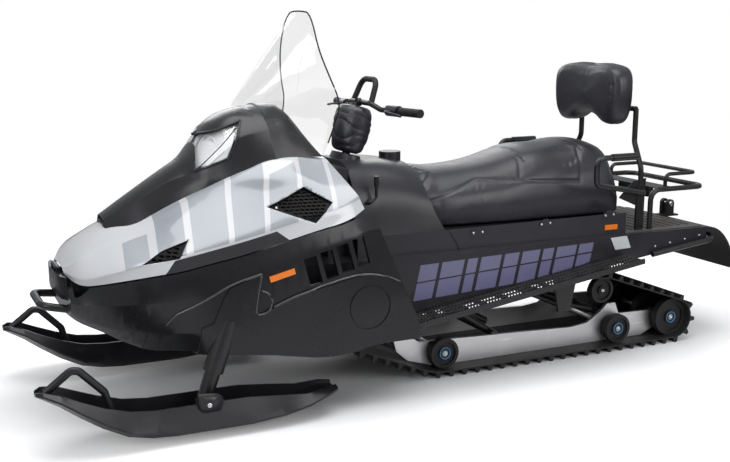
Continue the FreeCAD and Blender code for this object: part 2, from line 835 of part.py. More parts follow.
def hull_rows(inset, lift):
    rows = []
    for hood_row, row in zip(HOOD_SHARES, HULL_SHARES):
        reach, low_y, low_z = hood_row[:3]
        x = size.hood_front_x - reach * size.hood_length
        top_y = low_y * size.hood_half_width
        top_z = size.hood_base_z + low_z * size.hood_rise - size.move_gap
        band_y, band_z, side_y, side_z, foot_y, foot_z, keel_z = row
        wide = size.hull_half_width
        base = size.hull_base_z
        deep = size.hull_depth
        rows.append((x, [
            (top_y - inset, top_z + lift),
            (band_y * wide - inset, base + band_z * deep),
            (side_y * wide - inset, base + side_z * deep),
            (foot_y * wide - inset, base + foot_z * deep + inset),
            (0, base + keel_z * deep + inset),
        ]))
    tail_x, tail_lines = rows[-1]
    rows.append((tail_x - 0.18 * size.hood_length, tail_lines))
    return softened(rows)


def hull_solid(inset, lift, first):
    rows = hull_rows(inset, lift)[first:]
    return solid_loft([half_section(x, lines) for x, lines in rows], True)


def side_prism(points):
    """An outline in side view carried out through the left side of the hull."""
    width = size.hull_half_width
    return prism(points, size.side_panel_inner_y + width / 2, width)


def panel_outline(table):
    return [(size.hood_front_x - reach * size.hood_length, size.hull_base_z + high * size.hull_depth)
            for reach, high in table]


def louver_outline(index, grow):
    """One louver in side view: a slanted slot, or the frame round it where it grows."""
    top_x = size.louver_x - index * size.louver_pitch
    top_z = size.louver_z + index * size.louver_pitch * LOUVER_CLIMB_SHARE
    back = size.louver_width * LOUVER_CLIMB_SHARE * 0.7
    lean = size.louver_height * LOUVER_LEAN_SHARE
    return [(top_x + grow, top_z + grow), (top_x - size.louver_width - grow, top_z + back + grow),
            (top_x - size.louver_width - lean - grow, top_z + back - size.louver_height - grow),
            (top_x - lean + grow, top_z - size.louver_height - grow)]


def louver_ribs():
    """The deep bars between and beside the louvers, as one slanted band less its slots."""
    grow = (size.louver_pitch - size.louver_width) / 2
    first = louver_outline(0, grow)
    last = louver_outline(LOUVERS - 1, grow)
    band = side_prism([first[0], last[1], last[2], first[3]])
    for index in range(LOUVERS):
        band = band.cut(side_prism(louver_outline(index, 0)))
    return band


def disc_groove():
    """The round groove pressed into the fender's rear, as a ring through the side."""
    start = vec(size.disc_x, size.side_panel_inner_y, size.disc_z)
    across = vec(0, size.hull_half_width, 0)
    outer = rod(start, start + across, 2 * size.disc_radius)
    return outer.cut(rod(start, start + across, 2 * (size.disc_radius - size.disc_groove)))


def strut_axis():
    """Foot point and upward direction of the left ski strut."""
    lean = math.radians(size.strut_rake)
    top = vec(size.strut_top_x, size.ski_stance / 2, size.strut_top_z)
    down = vec(math.sin(lean), 0, -math.cos(lean))
    return top, down


def strut_clearance():
    top, down = strut_axis()
    start = top - down * size.strut_collar_reach
    return Part.makeCylinder(size.strut_collar / 2 + size.fit_gap,
                             3 * size.strut_collar_reach, start, down)


def hull_pieces():
    """The belly pan and the two side panels, split from one moulded hull."""
    inner = hull_solid(size.hull_wall, size.overrun, 2)
    shell = hull_solid(0, 0, 0).cut(inner)
    holes = both_sides(strut_clearance())
    shell = shell.cut(holes)
    region = side_prism(panel_outline(SIDE_PANEL_SHARES))
    fender = hull_solid(-size.fender_step, 0, 0).cut(inner)
    fender = fender.common(side_prism(panel_outline(FENDER_SHARES))).common(region)
    dish = hull_solid(size.disc_groove_depth - size.fender_step, 0, 0)
    fender = fender.cut(disc_groove().cut(dish)).cut(strut_clearance())
    ribs = hull_solid(size.hull_wall / 2, size.overrun, 2)
    ribs = ribs.cut(hull_solid(size.louver_depth, size.overrun, 2)).common(louver_ribs())
    left = shell.common(region)
    for index in range(LOUVERS):
        left = left.cut(side_prism(louver_outline(index, 0)))
    left = joined([left, fender, ribs])
    left = max(left.Solids, key=lambda s: s.Volume)
    keep("side_panel_left", left)
    keep("side_panel_right", mirrored(left))
    belly = shell.cut(both_sides(region))
    behind = Part.makeBox(size.hood_length, 3 * size.hull_half_width, 3 * size.hull_depth,
                          vec(size.belly_rear_x - size.hood_length,
                              -1.5 * size.hull_half_width,
                              size.hull_base_z - size.hull_depth))
    belly = belly.cut(behind)
    largest = max(belly.Solids, key=lambda s: s.Volume)
    keep("belly_pan", largest)


def nose():
    """The bumper loop in front and the black trim under the hood's lip."""
    x = size.bumper_loop_x
    z = size.bumper_loop_z
    wide = size.bumper_loop_half_width
    back_x = size.hood_front_x - size.bumper_loop_tube * 1.5
    loop = tube([
        vec(back_x, wide + size.bumper_loop_tube, z - 0.2 * wide),
        vec(x, wide, z),
        vec(x, -wide, z),
        vec(back_x, -wide - size.bumper_loop_tube, z - 0.2 * wide),
    ], size.bumper_loop_tube, size.bumper_loop_tube * 1.5)
    loop = loop.cut(hull_solid(0, 0, 0))
    keep("front_bumper", max(loop.Solids, key=lambda s: s.Volume))


def nose_trim():
    """The black moulded trim on the hull's face, under the hood's lip."""
    face_x = size.hood_front_x - HOOD_SHARES[0][0] * size.hood_length
    top_z = size.hinge_z - 2 * size.move_gap
    wide = size.trim_half_width
    plan = [(face_x, wide), (face_x + 0.7 * size.trim_reach, 0.8 * wide),
            (face_x + size.trim_reach, 0.4 * wide), (face_x + size.trim_reach, -0.4 * wide),
            (face_x + 0.7 * size.trim_reach, -0.8 * wide), (face_x, -wide)]
    block = plan_prism(plan, top_z - size.trim_height, size.trim_height)
    loop_zone = Part.makeBox(4 * size.trim_reach, 4 * wide, 3 * size.trim_height,
                             vec(face_x - size.trim_reach, -2 * wide,
                                 size.bumper_loop_z + size.bumper_loop_tube / 2 + size.fit_gap
                                 - 3 * size.trim_height))
    ears = [hinge_rod(side * size.hinge_half_width, size.hinge_ear, 1.4 * size.hinge_pin)
            for side in (1, -1)]
    ears += [Part.makeBox(1.4 * size.hinge_pin, size.hinge_ear, size.hinge_z - top_z,
                          vec(size.hinge_x - 0.7 * size.hinge_pin,
                              side * size.hinge_half_width - size.hinge_ear / 2, top_z))
             for side in (1, -1)]
    pin = hinge_rod(0, 2 * size.hinge_half_width, size.hinge_pin)
    keep("nose_trim", joined([block.cut(loop_zone), pin] + ears))


def hinge_rod(middle_y, length, diameter):
    start = vec(size.hinge_x, middle_y - length / 2, size.hinge_z)
    return rod(start, start + vec(0, length, 0), diameter)


def hood_hinge():
    """The hood's hinge barrel on the pin, with the leaf that joins it to the nose."""
    long = 2 * size.hinge_half_width - size.hinge_ear - 2 * size.move_gap
    barrel = hinge_rod(0, long, size.hinge_barrel)
    face_x = size.hood_front_x - HOOD_SHARES[0][0] * size.hood_length
    leaf = Part.makeBox(size.hinge_x - face_x + size.overrun, long, size.hinge_leaf,
                        vec(face_x - size.overrun, -long / 2, size.hinge_z - size.hinge_leaf / 2))
    shape = barrel.fuse(leaf).cut(hood_outer).cut(hinge_rod(0, 2 * long, size.hinge_pin + 2 * size.fit_gap))
    keep("hood_hinge", max(shape.Solids, key=lambda s: s.Volume))


def engine():
    block = doc.addObject("Part::Box", "engine")
    block.setExpression("Length", "sizes.engine_length")
    block.setExpression("Width", "sizes.engine_width")
    block.setExpression("Height", "sizes.engine_height")
    block.setExpression(".Placement.Base.x", "sizes.tunnel_front_x")
    block.setExpression(".Placement.Base.y", "-sizes.engine_width / 2")
    block.setExpression(".Placement.Base.z", "sizes.engine_base_z")
    keep_object(block, "engine")


# Tunnel, boards and rear end

def tunnel():
    """A folded sheet channel over the track, closed on top."""
    corners = [
        ("sizes.tunnel_front_x", "sizes.tunnel_foot_z"),
        ("sizes.board_front_x", "sizes.tunnel_foot_z"),
        ("sizes.board_front_x", "sizes.tunnel_skirt_front_z"),
        ("sizes.tunnel_skirt_rear_x", "sizes.tunnel_skirt_rear_z"),
        ("sizes.tunnel_rear_x", "sizes.tunnel_tail_z"),
        ("sizes.tunnel_rear_x", "sizes.tunnel_top_z"),
        ("sizes.tunnel_front_x", "sizes.tunnel_top_z"),
    ]
    body = plate("tunnel", "XZ_Plane", corners, "2 * sizes.tunnel_half_width", "0")
    inside = [
        ("sizes.tunnel_front_x + sizes.overrun",
         "sizes.tunnel_foot_z - sizes.overrun"),
        ("sizes.tunnel_rear_x - sizes.overrun",
         "sizes.tunnel_foot_z - sizes.overrun"),
        ("sizes.tunnel_rear_x - sizes.overrun", "sizes.tunnel_top_z - sizes.tunnel_sheet"),
        ("sizes.tunnel_front_x + sizes.overrun", "sizes.tunnel_top_z - sizes.tunnel_sheet"),
    ]
    sketch = bound_sketch(body, "tunnel_inside", "XZ_Plane", inside)
    pocket = body.newObject("PartDesign::Pocket", "tunnel_pocket")
    pocket.Profile = sketch
    pocket.Midplane = True
    pocket.setExpression("Length", "2 * (sizes.tunnel_half_width - sizes.tunnel_sheet)")
    keep_object(body, "tunnel")


def running_board(label, side):
    """A tread sheet with slots, an outer lip and a gentle rise to the rear."""
    body = doc.addObject("PartDesign::Body", label)
    sketch = bound_sketch(body, label + "_sheet", "XY_Plane", [
        ("0", "0"), ("-sizes.board_length", "0"),
        ("-sizes.board_length", "sizes.board_width"), ("0", "sizes.board_width"),
    ])
    pad = body.newObject("PartDesign::Pad", label + "_sheet_pad")
    pad.Profile = sketch
    pad.setExpression("Length", "sizes.board_sheet")
    lip = bound_sketch(body, label + "_lip", "XY_Plane", [
        ("0", "sizes.board_width - 2 * sizes.board_sheet"),
        ("-sizes.board_length", "sizes.board_width - 2 * sizes.board_sheet"),
        ("-sizes.board_length", "sizes.board_width"), ("0", "sizes.board_width"),
    ])
    lip_pad = body.newObject("PartDesign::Pad", label + "_lip_pad")
    lip_pad.Profile = lip
    lip_pad.Midplane = True
    lip_pad.setExpression("Length", "sizes.board_lip")
    slot = bound_sketch(body, label + "_slot", "XY_Plane", [
        ("-sizes.board_slot_length / 2", "sizes.board_row_pitch / 2"),
        ("-1.5 * sizes.board_slot_length", "sizes.board_row_pitch / 2"),
        ("-1.5 * sizes.board_slot_length",
         "sizes.board_row_pitch / 2 + sizes.board_slot_width"),
        ("-sizes.board_slot_length / 2",
         "sizes.board_row_pitch / 2 + sizes.board_slot_width"),
    ])
    pocket = body.newObject("PartDesign::Pocket", label + "_slot_cut")
    pocket.Profile = slot
    pocket.Midplane = True
    pocket.setExpression("Length", "4 * sizes.board_sheet")
    doc.recompute()
    rows = body.newObject("PartDesign::MultiTransform", label + "_slots")
    rows.Originals = [pocket]
    along = body.newObject("PartDesign::LinearPattern", label + "_along")
    along.Direction = (slot, ["H_Axis"])
    along.Reversed = True
    count = int((size.board_length - size.board_slot_length) / size.board_slot_pitch)
    along.Length = size.board_slot_pitch * (count - 1)
    along.Occurrences = count
    across = body.newObject("PartDesign::LinearPattern", label + "_across")
    across.Direction = (slot, ["V_Axis"])
    across.Length = size.board_row_pitch * 2
    across.Occurrences = 3
    rows.Transformations = [along, across]
    body.Tip = rows
    if side > 0:
        base_y = "sizes.tunnel_half_width"
    else:
        base_y = "-sizes.tunnel_half_width - sizes.board_width"
    body.setExpression(".Placement.Base.x", "sizes.board_front_x")
    body.setExpression(".Placement.Base.y", base_y)
    body.setExpression(".Placement.Base.z", "sizes.board_front_z")
    tilt = FreeCAD.Rotation(vec(0, 1, 0), size.board_slope)
    body.Placement = FreeCAD.Placement(body.Placement.Base, tilt)
    keep_object(body, label)


def rear_deck():
    """The ribbed load deck behind the seat."""
    body = plate("rear_deck", "XZ_Plane", [
        ("sizes.box_rear_x", "sizes.tunnel_top_z"),
        ("sizes.deck_rear_x", "sizes.tunnel_top_z"),
        ("sizes.deck_rear_x", "sizes.tunnel_top_z + sizes.deck_plate"),
        ("sizes.box_rear_x", "sizes.tunnel_top_z + sizes.deck_plate"),
    ], "2 * sizes.box_half_width", "0")
    rib = bound_sketch(body, "deck_rib_outline", "XZ_Plane", [
        ("sizes.box_rear_x - sizes.deck_rib_pitch / 2",
         "sizes.tunnel_top_z + sizes.deck_plate / 2"),
        ("sizes.box_rear_x - sizes.deck_rib_pitch / 2 - sizes.deck_rib_width",
         "sizes.tunnel_top_z + sizes.deck_plate / 2"),
        ("sizes.box_rear_x - sizes.deck_rib_pitch / 2 - 0.8 * sizes.deck_rib_width",
         "sizes.tunnel_top_z + sizes.deck_rib"),
        ("sizes.box_rear_x - sizes.deck_rib_pitch / 2 - 0.2 * sizes.deck_rib_width",
         "sizes.tunnel_top_z + sizes.deck_rib"),
    ])
    pad = body.newObject("PartDesign::Pad", "deck_rib")
    pad.Profile = rib
    pad.Midplane = True
    pad.setExpression("Length", "1.66 * sizes.box_half_width")
    doc.recompute()
    ribs = body.newObject("PartDesign::LinearPattern", "deck_ribs")
    ribs.Originals = [pad]
    ribs.Direction = (rib, ["H_Axis"])
    ribs.Reversed = True
    count = int((size.box_rear_x - size.deck_rear_x) / size.deck_rib_pitch)
    ribs.Length = size.deck_rib_pitch * (count - 1)
    ribs.Occurrences = count
    body.Tip = ribs
    keep_object(body, "rear_deck")


def snow_flap():
    """A curved rubber sheet behind the tunnel with two side cheeks."""
    top = vec(size.tunnel_rear_x, 0, size.tunnel_top_z - size.tunnel_sheet)
    reach = size.flap_reach
    drop = size.flap_drop
    thick = size.flap_thickness
    outer = [top, top + vec(-0.45 * reach, 0, -0.1 * drop),
             top + vec(-0.78 * reach, 0, -0.45 * drop), top + vec(-reach, 0, -drop)]
    inner = [top + vec(0, 0, -thick), outer[1] + vec(0, 0, -thick),
             outer[2] + vec(thick, 0, -0.4 * thick), outer[3] + vec(thick, 0, -0.4 * thick)]
    seat_edge = vec(size.overrun, 0, 0)
    curves = []
    for points in (outer, inner):
        curve = Part.BSplineCurve()
        curve.interpolate(Points=points, InitialTangent=vec(-reach, 0, 0),
                          FinalTangent=points[-1] - points[-2])
        curves.append(curve.toShape())
    edges = [Part.makeLine(outer[0] + seat_edge, outer[0]), curves[0],
             Part.makeLine(outer[-1], inner[-1]), curves[1],
             Part.makeLine(inner[0], inner[0] + seat_edge),
             Part.makeLine(inner[0] + seat_edge, outer[0] + seat_edge)]
    face = Part.Face(Part.Wire(edges))
    sheet_width = 2 * size.flap_half_width
    flap = face.extrude(vec(0, sheet_width, 0))
    flap.translate(vec(0, -size.flap_half_width, 0))
    keep("snow_flap", flap)


def rear_bumper():
    """One bent tube from board to board, round the tail."""
    front = vec(size.bumper_front_x, size.tunnel_half_width + size.bumper_tube / 2,
                size.bumper_front_z)
    corner = vec(size.bumper_rear_x, size.tunnel_half_width + size.bumper_tube / 2,
                 size.bumper_rear_z)
    points = [front, corner, vec(corner.x, -corner.y, corner.z),
              vec(front.x, -front.y, front.z)]
    keep("rear_bumper", tube(points, size.bumper_tube, size.bumper_tube * 3))


def rear_rack():
    """A tubular hoop over the deck on two pairs of legs."""
    z = size.rack_z
    wide = size.rack_half_width
    deck_z = size.tunnel_top_z + size.deck_plate
    front_x = size.rack_front_x
    rear_x = size.rack_rear_x
    bend = size.rack_tube * 2
    hoop = tube([
        vec(front_x, wide, deck_z),
        vec(front_x, wide, z),
        vec(rear_x, wide, z),
        vec(rear_x, -wide, z),
        vec(front_x, -wide, z),
        vec(front_x, -wide, deck_z),
    ], size.rack_tube, bend)
    shelf_rear_x = front_x - 6 * size.rack_tube
    shelf = Part.makeBox(4 * size.rack_tube, 2 * wide, size.rack_plate,
                         vec(shelf_rear_x, -wide, z))
    span = front_x - rear_x
    stay = tube([
        vec(front_x, wide, z - 1.4 * size.rack_tube),
        vec(front_x - 0.55 * span, wide, z - 1.7 * size.rack_tube),
        vec(rear_x + 2 * size.rack_tube, wide, deck_z + size.deck_rib),
    ], size.rack_tube, bend)
    rail_y = size.rail_hoop_half_width
    rail_x = shelf_rear_x + size.rail_hoop_tube / 2 + size.deck_plate
    rail = tube([
        vec(rail_x, rail_y, z), vec(rail_x, rail_y, size.rail_hoop_z),
        vec(rear_x, rail_y, size.rail_hoop_z), vec(rear_x, -rail_y, size.rail_hoop_z),
        vec(rail_x, -rail_y, size.rail_hoop_z), vec(rail_x, -rail_y, z),
    ], size.rail_hoop_tube, size.rail_hoop_tube * 1.5)
    keep("rear_rack", joined([hoop, shelf, stay, mirrored(stay), rail]))


def tail_lamp():
    """The red lamp that hangs under the rack's cross plate and faces the rear."""
    wide = size.tail_lamp_width
    lamp = Part.makeBox(size.tail_lamp_depth, wide, size.tail_lamp_height,
                        vec(size.rack_front_x - 6 * size.rack_tube, -wide / 2,
                            size.rack_z - size.tail_lamp_height))
    keep("tail_lamp", lamp)


def tow_hitch():
    """A jaw with a pin bore at the tail of the tunnel."""
    jaw = doc.addObject("Part::Box", "hitch_jaw")
    jaw.setExpression("Length", "sizes.deck_rear_x - sizes.hitch_x + 0.7 * sizes.hitch_width")
    jaw.setExpression("Width", "sizes.hitch_width")
    jaw.setExpression("Height", "sizes.hitch_height")
    jaw.setExpression(".Placement.Base.x", "sizes.hitch_x - 0.7 * sizes.hitch_width")
    jaw.setExpression(".Placement.Base.y", "-sizes.hitch_width / 2")
    jaw.setExpression(".Placement.Base.z", "sizes.tunnel_top_z")
    bore = doc.addObject("Part::Cylinder", "hitch_bore_tool")
    bore.setExpression("Radius", "sizes.hitch_bore / 2")
    bore.setExpression("Height", "2 * sizes.hitch_height")
    bore.setExpression(".Placement.Base.x", "sizes.hitch_x - 0.3 * sizes.hitch_width")
    bore.setExpression(".Placement.Base.z", "sizes.tunnel_top_z - sizes.hitch_height / 2")
    cut = doc.addObject("Part::Cut", "tow_hitch")
    cut.Base = jaw
    cut.Tool = bore
    keep_object(cut, "tow_hitch")


# Seat, tank and backrest

def crowned_section(x, points):
    """A closed section: straight base, smooth sides and crown through points."""
    left = [vec(x, y, z) for y, z in points]
    crown = left[-1]
    right = [vec(x, -p.y, p.z) for p in reversed(left[:-1])]
    curve = Part.BSplineCurve()
    curve.interpolate(left[:-1] + [crown] + right)
    base = Part.makeLine(right[-1], left[0])
    return Part.Wire([curve.toShape(), base])


def seam_region(ahead):
    """All that lies behind the seam between tank and seat, or ahead of it."""
    length = size.tank_front_x - size.tank_rear_x
    tall = size.seat_base_z + size.tank_height - size.tunnel_top_z
    line = [(size.tank_rear_x + reach * length, size.tunnel_top_z + high * tall)
            for reach, high in SEAM_SHARES]
    if ahead:
        line = [(x - size.seam_gap, z) for x, z in line]
    far_x = size.tank_front_x if ahead else size.seat_rear_x
    return prism(line + [(far_x, line[-1][1]), (far_x, line[0][1])], 0, 3 * size.tank_half_width)


def seat():
    """The long two-up seat as one soft solid, its nose cut to the seam."""
    length = size.seat_front_x - size.seat_rear_x
    base = size.seat_base_z
    wires = []
    for reach, foot, shoulder, shoulder_z, crown_z in SEAT_SHARES:
        x = size.seat_front_x - reach * length
        wide = size.seat_half_width
        tall = size.seat_height
        wires.append(crowned_section(x, [
            (foot * wide, base),
            (foot * wide * 0.98, base + 0.4 * shoulder_z * tall),
            (shoulder * wide, base + shoulder_z * tall),
            (0, base + crown_z * tall),
        ]))
    keep("seat", solid_loft(wires).cut(seam_region(True)))


def seat_box():
    """The box under seat and tank, between the side covers."""
    rear = "sizes.box_rear_x"
    body = plate("seat_box", "XZ_Plane", [
        ("sizes.tank_front_x", "sizes.tunnel_top_z"),
        (rear, "sizes.tunnel_top_z"),
        (rear, "sizes.seat_base_z - sizes.fit_gap"),
        ("sizes.tank_front_x", "sizes.seat_base_z - sizes.fit_gap"),
    ], "2 * (sizes.box_half_width - sizes.cover_thickness)", "0")
    keep_object(body, "seat_box")


def side_cover(label, side):
    middle = "%d * (sizes.box_half_width - sizes.cover_thickness / 2)" % -side
    body = plate(label, "XZ_Plane", [
        ("sizes.tank_front_x", "sizes.tunnel_top_z"),
        ("sizes.box_rear_x", "sizes.tunnel_top_z"),
        ("sizes.box_rear_x", "sizes.seat_base_z + sizes.cover_thickness"),
        ("sizes.tank_front_x", "sizes.seat_base_z"),
    ], "sizes.cover_thickness", middle)
    keep_object(body, label)


def tank_solid():
    length = size.tank_front_x - size.tank_rear_x
    wires = []
    for reach, foot, waist, shoulder, waist_z, shoulder_z, crown_z in TANK_SHARES:
        x = size.tank_front_x - reach * length
        wide = size.tank_half_width - size.cover_thickness
        base = size.seat_base_z
        tall = size.tank_height
        wires.append(crowned_section(x, [
            (foot * wide, base), (0.98 * foot * wide, base + 0.4 * waist_z * tall),
            (waist * wide, base + waist_z * tall),
            (shoulder * wide, base + shoulder_z * tall), (0, base + crown_z * tall),
        ]))
    return solid_loft(wires)


def fuel_tank():
    """The tank cover between the seat's nose and the console."""
    tank = tank_solid().cut(seam_region(False))
    keep("fuel_tank", tank.cut(column_shaft(size.fit_gap)))


def fuel_cap():
    """A round cap whose foot follows the tank's crown."""
    cap = doc.addObject("Part::Cylinder", "cap_blank")
    cap.setExpression("Radius", "sizes.cap_radius")
    cap.setExpression("Height", "2 * sizes.cap_height")
    cap.setExpression(".Placement.Base.x", "sizes.cap_x")
    cap.setExpression(".Placement.Base.z",
                      "sizes.seat_base_z + 0.944 * sizes.tank_height - sizes.cap_height")
    seated = doc.addObject("Part::Cut", "fuel_cap")
    seated.Base = cap
    seated.Tool = doc.getObject("fuel_tank")
    keep_object(seated, "fuel_cap")


def console_box():
    length = size.console_front_x - size.tank_front_x
    tall = size.console_top_z - size.tunnel_top_z
    return Part.makeBox(length, 2 * size.console_half_width, tall,
                        vec(size.tank_front_x, -size.console_half_width,
                            size.tunnel_top_z))


def console():
    """The dash ahead of the tank, which carries the steering collar."""
    body = plate("console", "XZ_Plane", [
        ("sizes.console_front_x", "sizes.tunnel_top_z"),
        ("sizes.tank_front_x", "sizes.tunnel_top_z"),
        ("sizes.tank_front_x", "sizes.console_top_z - 0.02 * sizes.tank_height"),
        ("sizes.console_front_x", "sizes.console_top_z"),
    ], "2 * sizes.console_half_width", "0")
    keep_object(body, "console")


def backrest_pad():
    """A wrapped pad with an arch cut into its lower edge."""
    x = size.pad_centre_x
    z = size.pad_centre_z
    wide = size.pad_half_width
    tall = size.pad_half_height
    deep = size.pad_half_depth
    outline = [
        vec(0, 0, 0.98 * tall), vec(0, 0.55 * wide, 1.0 * tall), vec(0, 0.93 * wide, 0.62 * tall),
        vec(0, 1.0 * wide, 0), vec(0, 0.86 * wide, -0.75 * tall), vec(0, 0.66 * wide, -0.98 * tall),
        vec(0, 0.42 * wide, -0.62 * tall), vec(0, 0, -0.42 * tall),
    ]
    outline += [vec(0, -p.y, p.z) for p in reversed(outline[1:-1])]
    curve = Part.BSplineCurve()
    curve.interpolate(outline, PeriodicFlag=True)
    face = Part.Face(Part.Wire([curve.toShape()]))
    slab = face.extrude(vec(2 * deep, 0, 0))
    slab.translate(vec(x - deep, 0, z))
    keep("backrest_pad", slab)


def gusset_corners():
    """The triangular gusset in side view, under the foot of a post."""
    wide = size.leg_width
    return [(size.post_foot_x + reach * wide, size.post_foot_z + high * wide)
            for reach, high in GUSSET_SHARES]


def backrest_frame():
    """Two bent posts joined by a cross tube, their gussets and legs to the deck."""
    y = size.post_y
    gusset_mid = size.gusset_y - size.gusset_sheet / 2
    foot = vec(size.post_foot_x, gusset_mid, size.post_foot_z - size.leg_width)
    top_z = size.pad_centre_z - 0.45 * size.pad_half_height
    rear_x = size.pad_centre_x - size.pad_half_depth - size.post_tube / 2
    post = tube([
        foot,
        vec(size.post_foot_x + 0.1 * size.leg_width, gusset_mid, size.post_foot_z + size.leg_width),
        vec(rear_x, y, size.pad_centre_z - 1.5 * size.pad_half_height),
        vec(rear_x, y, top_z),
    ], size.post_tube, size.post_tube * 2)
    gusset = prism(gusset_corners(), gusset_mid, size.gusset_sheet)
    base_z = size.tunnel_top_z
    leg = Part.makeBox(size.leg_width, size.gusset_sheet * 3,
                       size.post_foot_z - size.leg_width - base_z,
                       vec(size.post_foot_x - size.leg_width / 2,
                           gusset_mid - 1.5 * size.gusset_sheet, base_z + size.deck_plate))
    cross = rod(vec(rear_x, -y, top_z), vec(rear_x, y, top_z), size.post_tube)
    sides = [post, gusset, leg]
    pieces = sides + [mirrored(piece) for piece in sides] + [cross]
    keep("backrest_frame", joined(pieces))


def grab_handles():
    """A bent tube with a grip on each side of the seat."""
    y = size.handle_y
    z = size.handle_z
    foot_y = size.gusset_y + size.gusset_sheet + size.handle_tube / 2
    points = [
        vec(size.handle_rear_x, y, z),
        vec(size.handle_front_x, y, z),
        vec(size.handle_front_x - 0.4 * size.leg_width, 0.95 * y, z - 2.8 * size.leg_width),
        vec(size.post_foot_x + 0.9 * size.leg_width, foot_y, size.post_foot_z - 1.5 * size.leg_width),
        vec(size.post_foot_x - 0.2 * size.leg_width, foot_y, size.post_foot_z - 1.7 * size.leg_width),
    ]
    bar = tube(points, size.handle_tube, size.handle_tube * 1.5)
    grip = rod(points[0], points[0] + vec(size.handle_grip * 4, 0, 0), size.handle_grip)
    keep("grab_handles", both_sides(bar.fuse(grip)))


# Steering

def column_frame():
    """Foot of the steering column and its unit direction upwards."""
    lean = math.radians(size.column_lean)
    foot = vec(size.column_foot_x, 0, size.column_foot_z)
    return foot, vec(-math.sin(lean), 0, math.cos(lean))


def oval_wire(centre, direction, half_x, half_y):
    """An ellipse square to the column."""
    side = vec(0, 1, 0)
    ahead = side.cross(direction)
    if half_y > half_x:
        major, minor, axis = half_y, half_x, side
        other = ahead
    else:
        major, minor, axis = half_x, half_y, ahead
        other = side
    ellipse = Part.Ellipse(centre + axis * major, centre + other * minor, centre)
    return Part.Wire([ellipse.toShape()])


def steering_collar():
    """The fixed foot of the sleeve, seated on the tank's crown."""
    foot, up = column_frame()
    low = foot - up * size.column_collar_height
    reach, deep, wide = SLEEVE_SHARES[0]
    deep *= size.column_pad_depth
    wide *= size.column_pad_width
    wires = [oval_wire(low, up, 1.2 * deep, 1.15 * wide),
             oval_wire(foot - up * size.move_gap / 2, up, deep, wide)]
    collar = solid_loft(wires, True).cut(tank_solid()).cut(console_box())
    collar = collar.cut(column_shaft(size.fit_gap))
    keep("steering_collar", max(collar.Solids, key=lambda s: s.Volume))


def column_shaft(gap):
    """The shaft down the middle of the sleeve, or its bore with a gap."""
    foot, up = column_frame()
    low = foot - up * (size.column_collar_height / 2 + gap)
    high = foot + up * (size.column_pad_length + 2 * size.move_gap)
    return rod(low, high, size.column_shaft + 2 * gap)


def pad_solid():
    foot, up = column_frame()
    wires = []
    for reach, deep, wide in SLEEVE_SHARES:
        centre = foot + up * (size.move_gap / 2 + reach * size.column_pad_length)
        wires.append(oval_wire(centre, up, deep * size.column_pad_depth,
                               wide * size.column_pad_width))
    return solid_loft(wires, True)


def steering_pad():
    """The upholstered sleeve that turns with the bar."""
    keep("steering_pad", pad_solid().cut(handlebar_solid()))


def bar_shape():
    z = size.bar_z
    wide = size.bar_half_width
    half = 0.24 * wide
    points = [
        vec(size.bar_x - 0.12 * wide, wide, z),
        vec(size.bar_x, half * 1.6, z),
        vec(size.bar_x + 0.05 * wide, half, z + size.bar_tube),
        vec(size.bar_x + 0.05 * wide, -half, z + size.bar_tube),
        vec(size.bar_x, -half * 1.6, z),
        vec(size.bar_x - 0.12 * wide, -wide, z),
    ]
    return tube(points, size.bar_tube, size.bar_tube * 1.5)


def bar_end(side, start, length, diameter):
    """A sleeve along the outer run of the bar, start and length from its end."""
    wide = size.bar_half_width
    end = vec(size.bar_x - 0.12 * wide, side * wide, size.bar_z)
    knee = vec(size.bar_x, side * 0.384 * wide, size.bar_z)
    run = (knee - end).normalize()
    first = end + run * start
    return rod(first, first + run * length, diameter)


def handlebar_solid():
    """The bar, its stem down into the sleeve, and the clamp between them."""
    middle = vec(size.bar_x + 0.05 * size.bar_half_width, 0, size.bar_z + size.bar_tube)
    foot, up = column_frame()
    top = foot + up * (size.column_pad_length + 2 * size.move_gap)
    clamp = rod(top, middle, size.column_shaft)
    return joined([bar_shape(), column_shaft(0), clamp])


def handlebar():
    keep("handlebar", handlebar_solid())


def grips():
    bar = bar_shape()
    sleeves = [bar_end(side, -size.bar_tube / 4, size.grip_length, 2 * size.grip_radius).cut(bar)
               for side in (1, -1)]
    keep("grips", Part.makeCompound(sleeves))


def controls():
    """Switch blocks inboard of the grips with their levers ahead of the bar."""
    bar = bar_shape()
    pieces = []
    for side in (1, -1):
        start = size.grip_length + size.bar_tube / 4
        block = bar_end(side, start, size.control_length, size.control_height)
        hinge = vec(size.bar_x + size.lever_reach / 2, side * (size.control_y + size.bar_tube), size.bar_z)
        tip = vec(size.bar_x + 0.3 * size.lever_reach, side * (size.bar_half_width - size.grip_length / 3),
                  size.bar_z - size.bar_tube / 2)
        start_point = vec(size.bar_x - size.bar_tube / 2, side * (size.control_y + size.bar_tube / 2),
                          size.bar_z)
        lever = tube([start_point, hinge + vec(size.lever_reach / 4, 0, 0), tip], size.lever_tube,
                     size.lever_tube * 1.2)
        pieces.append(block.fuse(lever).cut(bar))
    pieces = [max(p.Solids, key=lambda s: s.Volume) for p in pieces]
    keep("controls", Part.makeCompound(pieces))


def bar_strap():
    """The hand strap that bridges the middle of the bar."""
    wide = size.strap_half_width
    z = size.bar_z + size.bar_tube
    x = size.bar_x + 0.03 * size.bar_half_width
    hoop = tube([
        vec(x, wide, z), vec(x - 0.40 * wide, 0.78 * wide, z + size.strap_rise),
        vec(x - 0.40 * wide, -0.78 * wide, z + size.strap_rise), vec(x, -wide, z),
    ], size.strap_tube, size.strap_tube * 1.8)
    keep("bar_strap", hoop.cut(bar_shape()))


